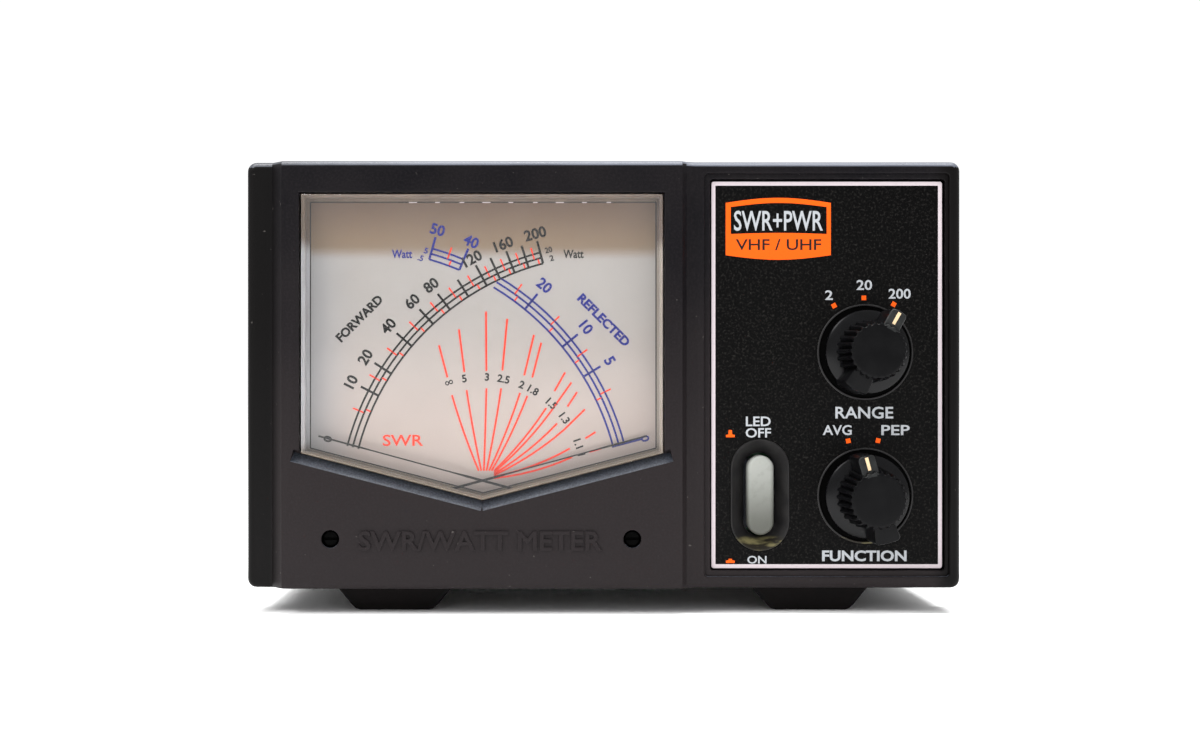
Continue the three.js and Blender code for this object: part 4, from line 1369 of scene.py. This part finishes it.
def button_spring():
    """The coil of wire between the push button and its switch."""
    low, high = box_mm("push_switch_spring")
    wire_r, coil_r = 0.22, (high.x - low.x) / 2 - 0.22
    coils, steps = 4, 72
    rings = []
    for i in range(steps + 1):
        turn = 2 * math.pi * coils * i / steps
        y = low.y + wire_r + (high.y - low.y - 2 * wire_r) * i / steps
        ring = []
        for j in range(8):
            a = 2 * math.pi * j / 8
            r = coil_r + wire_r * math.cos(a)
            x, z = BUTTON_X + r * math.cos(turn), BUTTON_Z + r * math.sin(turn)
            ring.append((x, y + wire_r * math.sin(a), z))
        rings.append(ring)
    return loft(rings)


spring = button_spring()
finished(spring, "button_spring", "light_button", ZINC, ["push_switch_spring"], 50)
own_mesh(spring)
finished(light_button(), "light_button_cap", "light_button", BUTTON, ["led_button"], 40)

# ------------------------------------------------------------------ case cover, feet and screws


SCREW_YS = [middle_mm(f"cover_screw_left_{row}").y for row in ("front", "rear")]
SCREW_Z = middle_mm("cover_screw_left_front").z


def side_screw_cutter(y, z):
    """A bar along X that bores both sides of the cover."""
    r, reach = 1.6, COVER_HIGH.x + 5
    angles = [math.radians(a) for a in range(0, 360, 15)]
    return loft([[(x, y + r * math.cos(a), z + r * math.sin(a)) for a in angles] for x in (-reach, reach)])


def case_cover():
    """A folded steel cover: two sides and a top, open below."""
    sheet, bend = 1.2, 2.4
    low, high = COVER_LOW, COVER_HIGH
    left, right, top = low.x + bend, high.x - bend, high.z - bend
    outer = arc(right, top, bend, 0, 90, 8) + arc(left, top, bend, 90, 180, 8)
    inner = arc(left, top, bend - sheet, 180, 90, 8) + arc(right, top, bend - sheet, 90, 0, 8)
    outline = [(high.x, low.z), *outer, (low.x, low.z), (low.x + sheet, low.z), *inner]
    outline.append((high.x - sheet, low.z))
    body = soften(plate(outline, low.y, high.y), 0.22, 2, 60)
    return combine(body, [side_screw_cutter(y, SCREW_Z) for y in SCREW_YS])


finished(case_cover(), "case_cover", "case", COVER, ["top_cover"])


def foot(node):
    """A moulded foot: a trapezoid in the front view, its lower corners eased, with its fixing stem."""
    low, high = box_mm(node)
    x = middle_mm(node).x
    top = BEZEL_LOW.z - GAP
    side = [(-12.9, top), (-12.2, top - 0.6), (-9.4, 1.1), (-8.6, 0.35), (-7.6, 0)]
    outline = [(x + a, z) for a, z in side] + [(x - a, z) for a, z in reversed(side)]
    block = soften(plate(outline, low.y, high.y), 0.5, 3, 60)
    stem_y = middle_mm(node).y + 1
    stem = circle(x, stem_y, 2.5, 24)
    return combine(block, [loft([[(a, b, z) for a, b in stem] for z in (top - 1, high.z)])], "UNION")


for side in ("left", "right"):
    for row in ("front", "rear"):
        node = f"foot_{side}_{row}"
        finished(foot(node), f"rubber_{node}", "case", RUBBER, [node], 30)


def pan_head(r, height, shank_r, shank_length):
    """A cross-recessed screw at the origin, its head towards +Y and its seat at y = 0."""
    profile = [
        (shank_r - 0.3, -shank_length), (shank_r, -shank_length + 0.4), (shank_r, 0),
        (r - 0.1, 0), (r, 0.12), (r, 0.42 * height),
        (r * 0.93, 0.68 * height), (r * 0.72, 0.9 * height), (r * 0.4, height),
    ]
    screw = lathe(0, 0, profile, count=32)
    slots = []
    for wide, tall in ((r * 0.62, 0.26), (0.26, r * 0.62)):
        slots.append(plate(rectangle(-wide, wide, -tall, tall), height * 0.35, height + 1))
    return combine(screw, slots)


def copy_placed(model, place):
    """A copy of a screw with its own mesh, moved to its place in millimetres."""
    copied = model.copy()
    copied.data = model.data.copy()
    bpy.context.collection.objects.link(copied)
    copied.data.transform(Matrix.Scale(MM, 4) @ place @ Matrix.Scale(1 / MM, 4))
    return copied


cover_screw = pan_head(2.6, 1.0, 1.3, 5.0)
for side, sign in (("left", -1), ("right", 1)):
    for row, y in zip(("front", "rear"), SCREW_YS):
        node = f"cover_screw_{side}_{row}"
        place = (
            Matrix.Translation((sign * (COVER_HIGH.x + 0.3), y, SCREW_Z))
            @ Matrix.Rotation(-sign * math.pi / 2, 4, "Z")
            @ Matrix.Rotation(math.radians(20 + 55 * sign + 3 * y), 4, "Y")
        )
        finished(copy_placed(cover_screw, place), f"side_{node}", "case", ZINC, [node])
bpy.data.objects.remove(cover_screw)

FLANGE_SCREW_HEAD = 1.7
flange_screw = pan_head(2.5, FLANGE_SCREW_HEAD, 1.25, 6.0)
for socket_name in ("input", "output"):
    for height_name, turn in (("lower", 12), ("upper", 67)):
        node = f"{socket_name}_screw_{height_name}"
        seat = middle_mm(node)
        seat.y = box_mm(node)[1].y - FLANGE_SCREW_HEAD
        place = Matrix.Translation(seat) @ Matrix.Rotation(math.radians(turn), 4, "Y")
        finished(copy_placed(flange_screw, place), f"flange_{node}", "case", ZINC, [node])
bpy.data.objects.remove(flange_screw)

# ------------------------------------------------------------------ sockets at the back

THREAD_PITCH = 1.06
THREAD_STEPS = 6
FLANGE_FRONT, FLANGE_BACK = 38.3, 39.9    # the sockets' flanges, just clear of the case's back


def threaded_ring(x, z, r, depth, y):
    """One ring of a helical thread: its radius rises and falls once round the pitch."""
    count = 48
    points = []
    for i in range(count):
        turn = i / count
        phase = (y / THREAD_PITCH - turn) % 1
        radius = r - depth * abs(2 * phase - 1)
        angle = 2 * math.pi * turn
        points.append((x + radius * math.cos(angle), y, z + radius * math.sin(angle)))
    return points


def coaxial_socket(node):
    """A panel socket: a square flange, a threaded shell and four notches round its mouth."""
    low, high = box_mm(node)
    x, z = (low.x + high.x) / 2, (low.z + high.z) / 2
    half = (high.x - low.x) / 2
    front, back, mouth_y = FLANGE_FRONT, FLANGE_BACK, high.y
    flange = soften(plate(rounded(x - half, x + half, z - half, z + half, 1.5), front, back), 0.2, 2)
    rings = [at_depth(circle(x, z, 7.3), front + 0.6), at_depth(circle(x, z, 7.3), back + 0.5)]
    y = back + 1
    while y < mouth_y - 0.8:
        rings.append(threaded_ring(x, z, 7.9, 0.55, y))
        y += THREAD_PITCH / THREAD_STEPS
    mouth = [(7.5, mouth_y - 0.5), (7.2, mouth_y), (6.8, mouth_y), (6.6, mouth_y - 0.3)]
    bore = [(6.6, back + 4), (4.1, back + 4), (4.1, front + 0.6)]
    for r, y in mouth + bore:
        rings.append(at_depth(circle(x, z, r), y))
    shell = loft(rings, endless=True)
    notches = []
    for i in range(4):
        angle = math.pi / 4 + i * math.pi / 2
        ahead = Vector((math.cos(angle), math.sin(angle)))
        aside = Vector((-ahead.y, ahead.x)) * 0.7
        ends = ((6, -1), (9, -1), (9, 1), (6, 1))
        corners = [tuple(Vector((x, z)) + ahead * out + aside * way) for out, way in ends]
        notches.append(plate(corners, mouth_y - 0.9, mouth_y + 1))
    combine(shell, notches)
    hole_out = 9.1
    cutters = []
    for across in (-hole_out, hole_out):
        for up in (-hole_out, hole_out):
            cutters.append(plate(circle(x + across, z + up, 1.6, 24), front - 1, back + 1))
    cutters.append(plate(circle(x, z, 6.9, 48), front - 1, back + 1))
    combine(flange, cutters)
    return combine(flange, [shell], "UNION")


for socket_name in ("input", "output"):
    node = f"{socket_name}_socket"
    finished(coaxial_socket(node), f"coaxial_{node}", "case", NICKEL, [node], 28)


# What each socket is called: its words, how far above it they stand, their height and their width.
REAR_WORDS = {
    "input_socket": ("TX", 19, 3.6, 7.6),
    "output_socket": ("ANT", 19, 3.6, 11.5),
    "dc_jack": ("DC IN", 9.5, 2.6, 9.5),
}


def rear_words():
    made = []
    for node, (words, above, height, width) in REAR_WORDS.items():
        x, _, z = middle_mm(node)
        made.append(lettering(
            words, x, z + above, height, width, weight=0.012, front=REAR_Y, facing=FACING_REAR
        ))
    return joined(made)


finished(rear_words(), "rear_word_print", "case", WHITE_INK)

# ------------------------------------------------------------------ finishes of the carried-over CAD nodes

NODE_FINISHES = {
    COVER: ["chassis"],
    ZINC: ["bezel_screw_left", "bezel_screw_right", "coupler_housing", "coupler_lid"],
    STEEL: ["range_switch_shaft", "function_switch_shaft", "forward_core", "reflected_core"],
    NICKEL: ["range_switch_nut", "function_switch_nut", "dc_jack_nut"],
    BRASS: [
        "line_conductor", "forward_bridge", "reflected_bridge", "forward_hairspring", "reflected_hairspring",
    ],
    COPPER: ["forward_coil", "reflected_coil"],
    MAGNET: ["forward_magnet", "reflected_magnet"],
    FERRITE: ["current_toroid"],
    BOARD: ["switch_board", "coupler_board"],
    SWITCH: ["meter_frame", "range_switch_body", "function_switch_body", "push_switch_body"],
    PTFE: ["input_insulator", "output_insulator", "backlight_strip", "push_switch_plunger"],
    BLACK_AND_HOLE_SHADE: ["forward_zero_adjuster", "reflected_zero_adjuster", "dc_jack"],
}
for material, names in NODE_FINISHES.items():
    for name in names:
        for holder in frame["nodes"][name].material_slots:
            holder.material = material

# ------------------------------------------------------------------ floor and light


def make_floor():
    deselect()
    bpy.ops.mesh.primitive_plane_add(size=8)
    floor = bpy.context.object
    floor.name = "studio_floor"
    finish = Finish("floor_white", 0.9, specular=0.1)
    finish.colour(finish.blend(finish.noise(400), paint(253, 253, 253), paint(255, 255, 255)))
    floor.data.materials.append(finish.material)


def make_world():
    world = bpy.data.worlds.new("studio")
    world.use_nodes = True
    world.node_tree.nodes["Background"].inputs["Color"].default_value = (1, 1, 1, 1)
    world.node_tree.nodes["Background"].inputs["Strength"].default_value = 1.06
    scene.world = world


def softbox(name, at, aim, width, height, watts):
    deselect()
    bpy.ops.object.light_add(type="AREA", location=at)
    light = bpy.context.object
    light.name = name
    light.data.shape = "RECTANGLE"
    light.data.size = width
    light.data.size_y = height
    light.data.energy = watts
    light.rotation_euler = (Vector(aim) - Vector(at)).to_track_quat("-Z", "Y").to_euler()


make_floor()
make_world()
softbox("key_softbox", (-0.55, -0.5, 0.75), (0, 0, 0.05), 0.5, 0.4, 6)
softbox("top_softbox", (0.0, -0.02, 0.9), (0, -0.02, 0.05), 0.9, 0.16, 20)
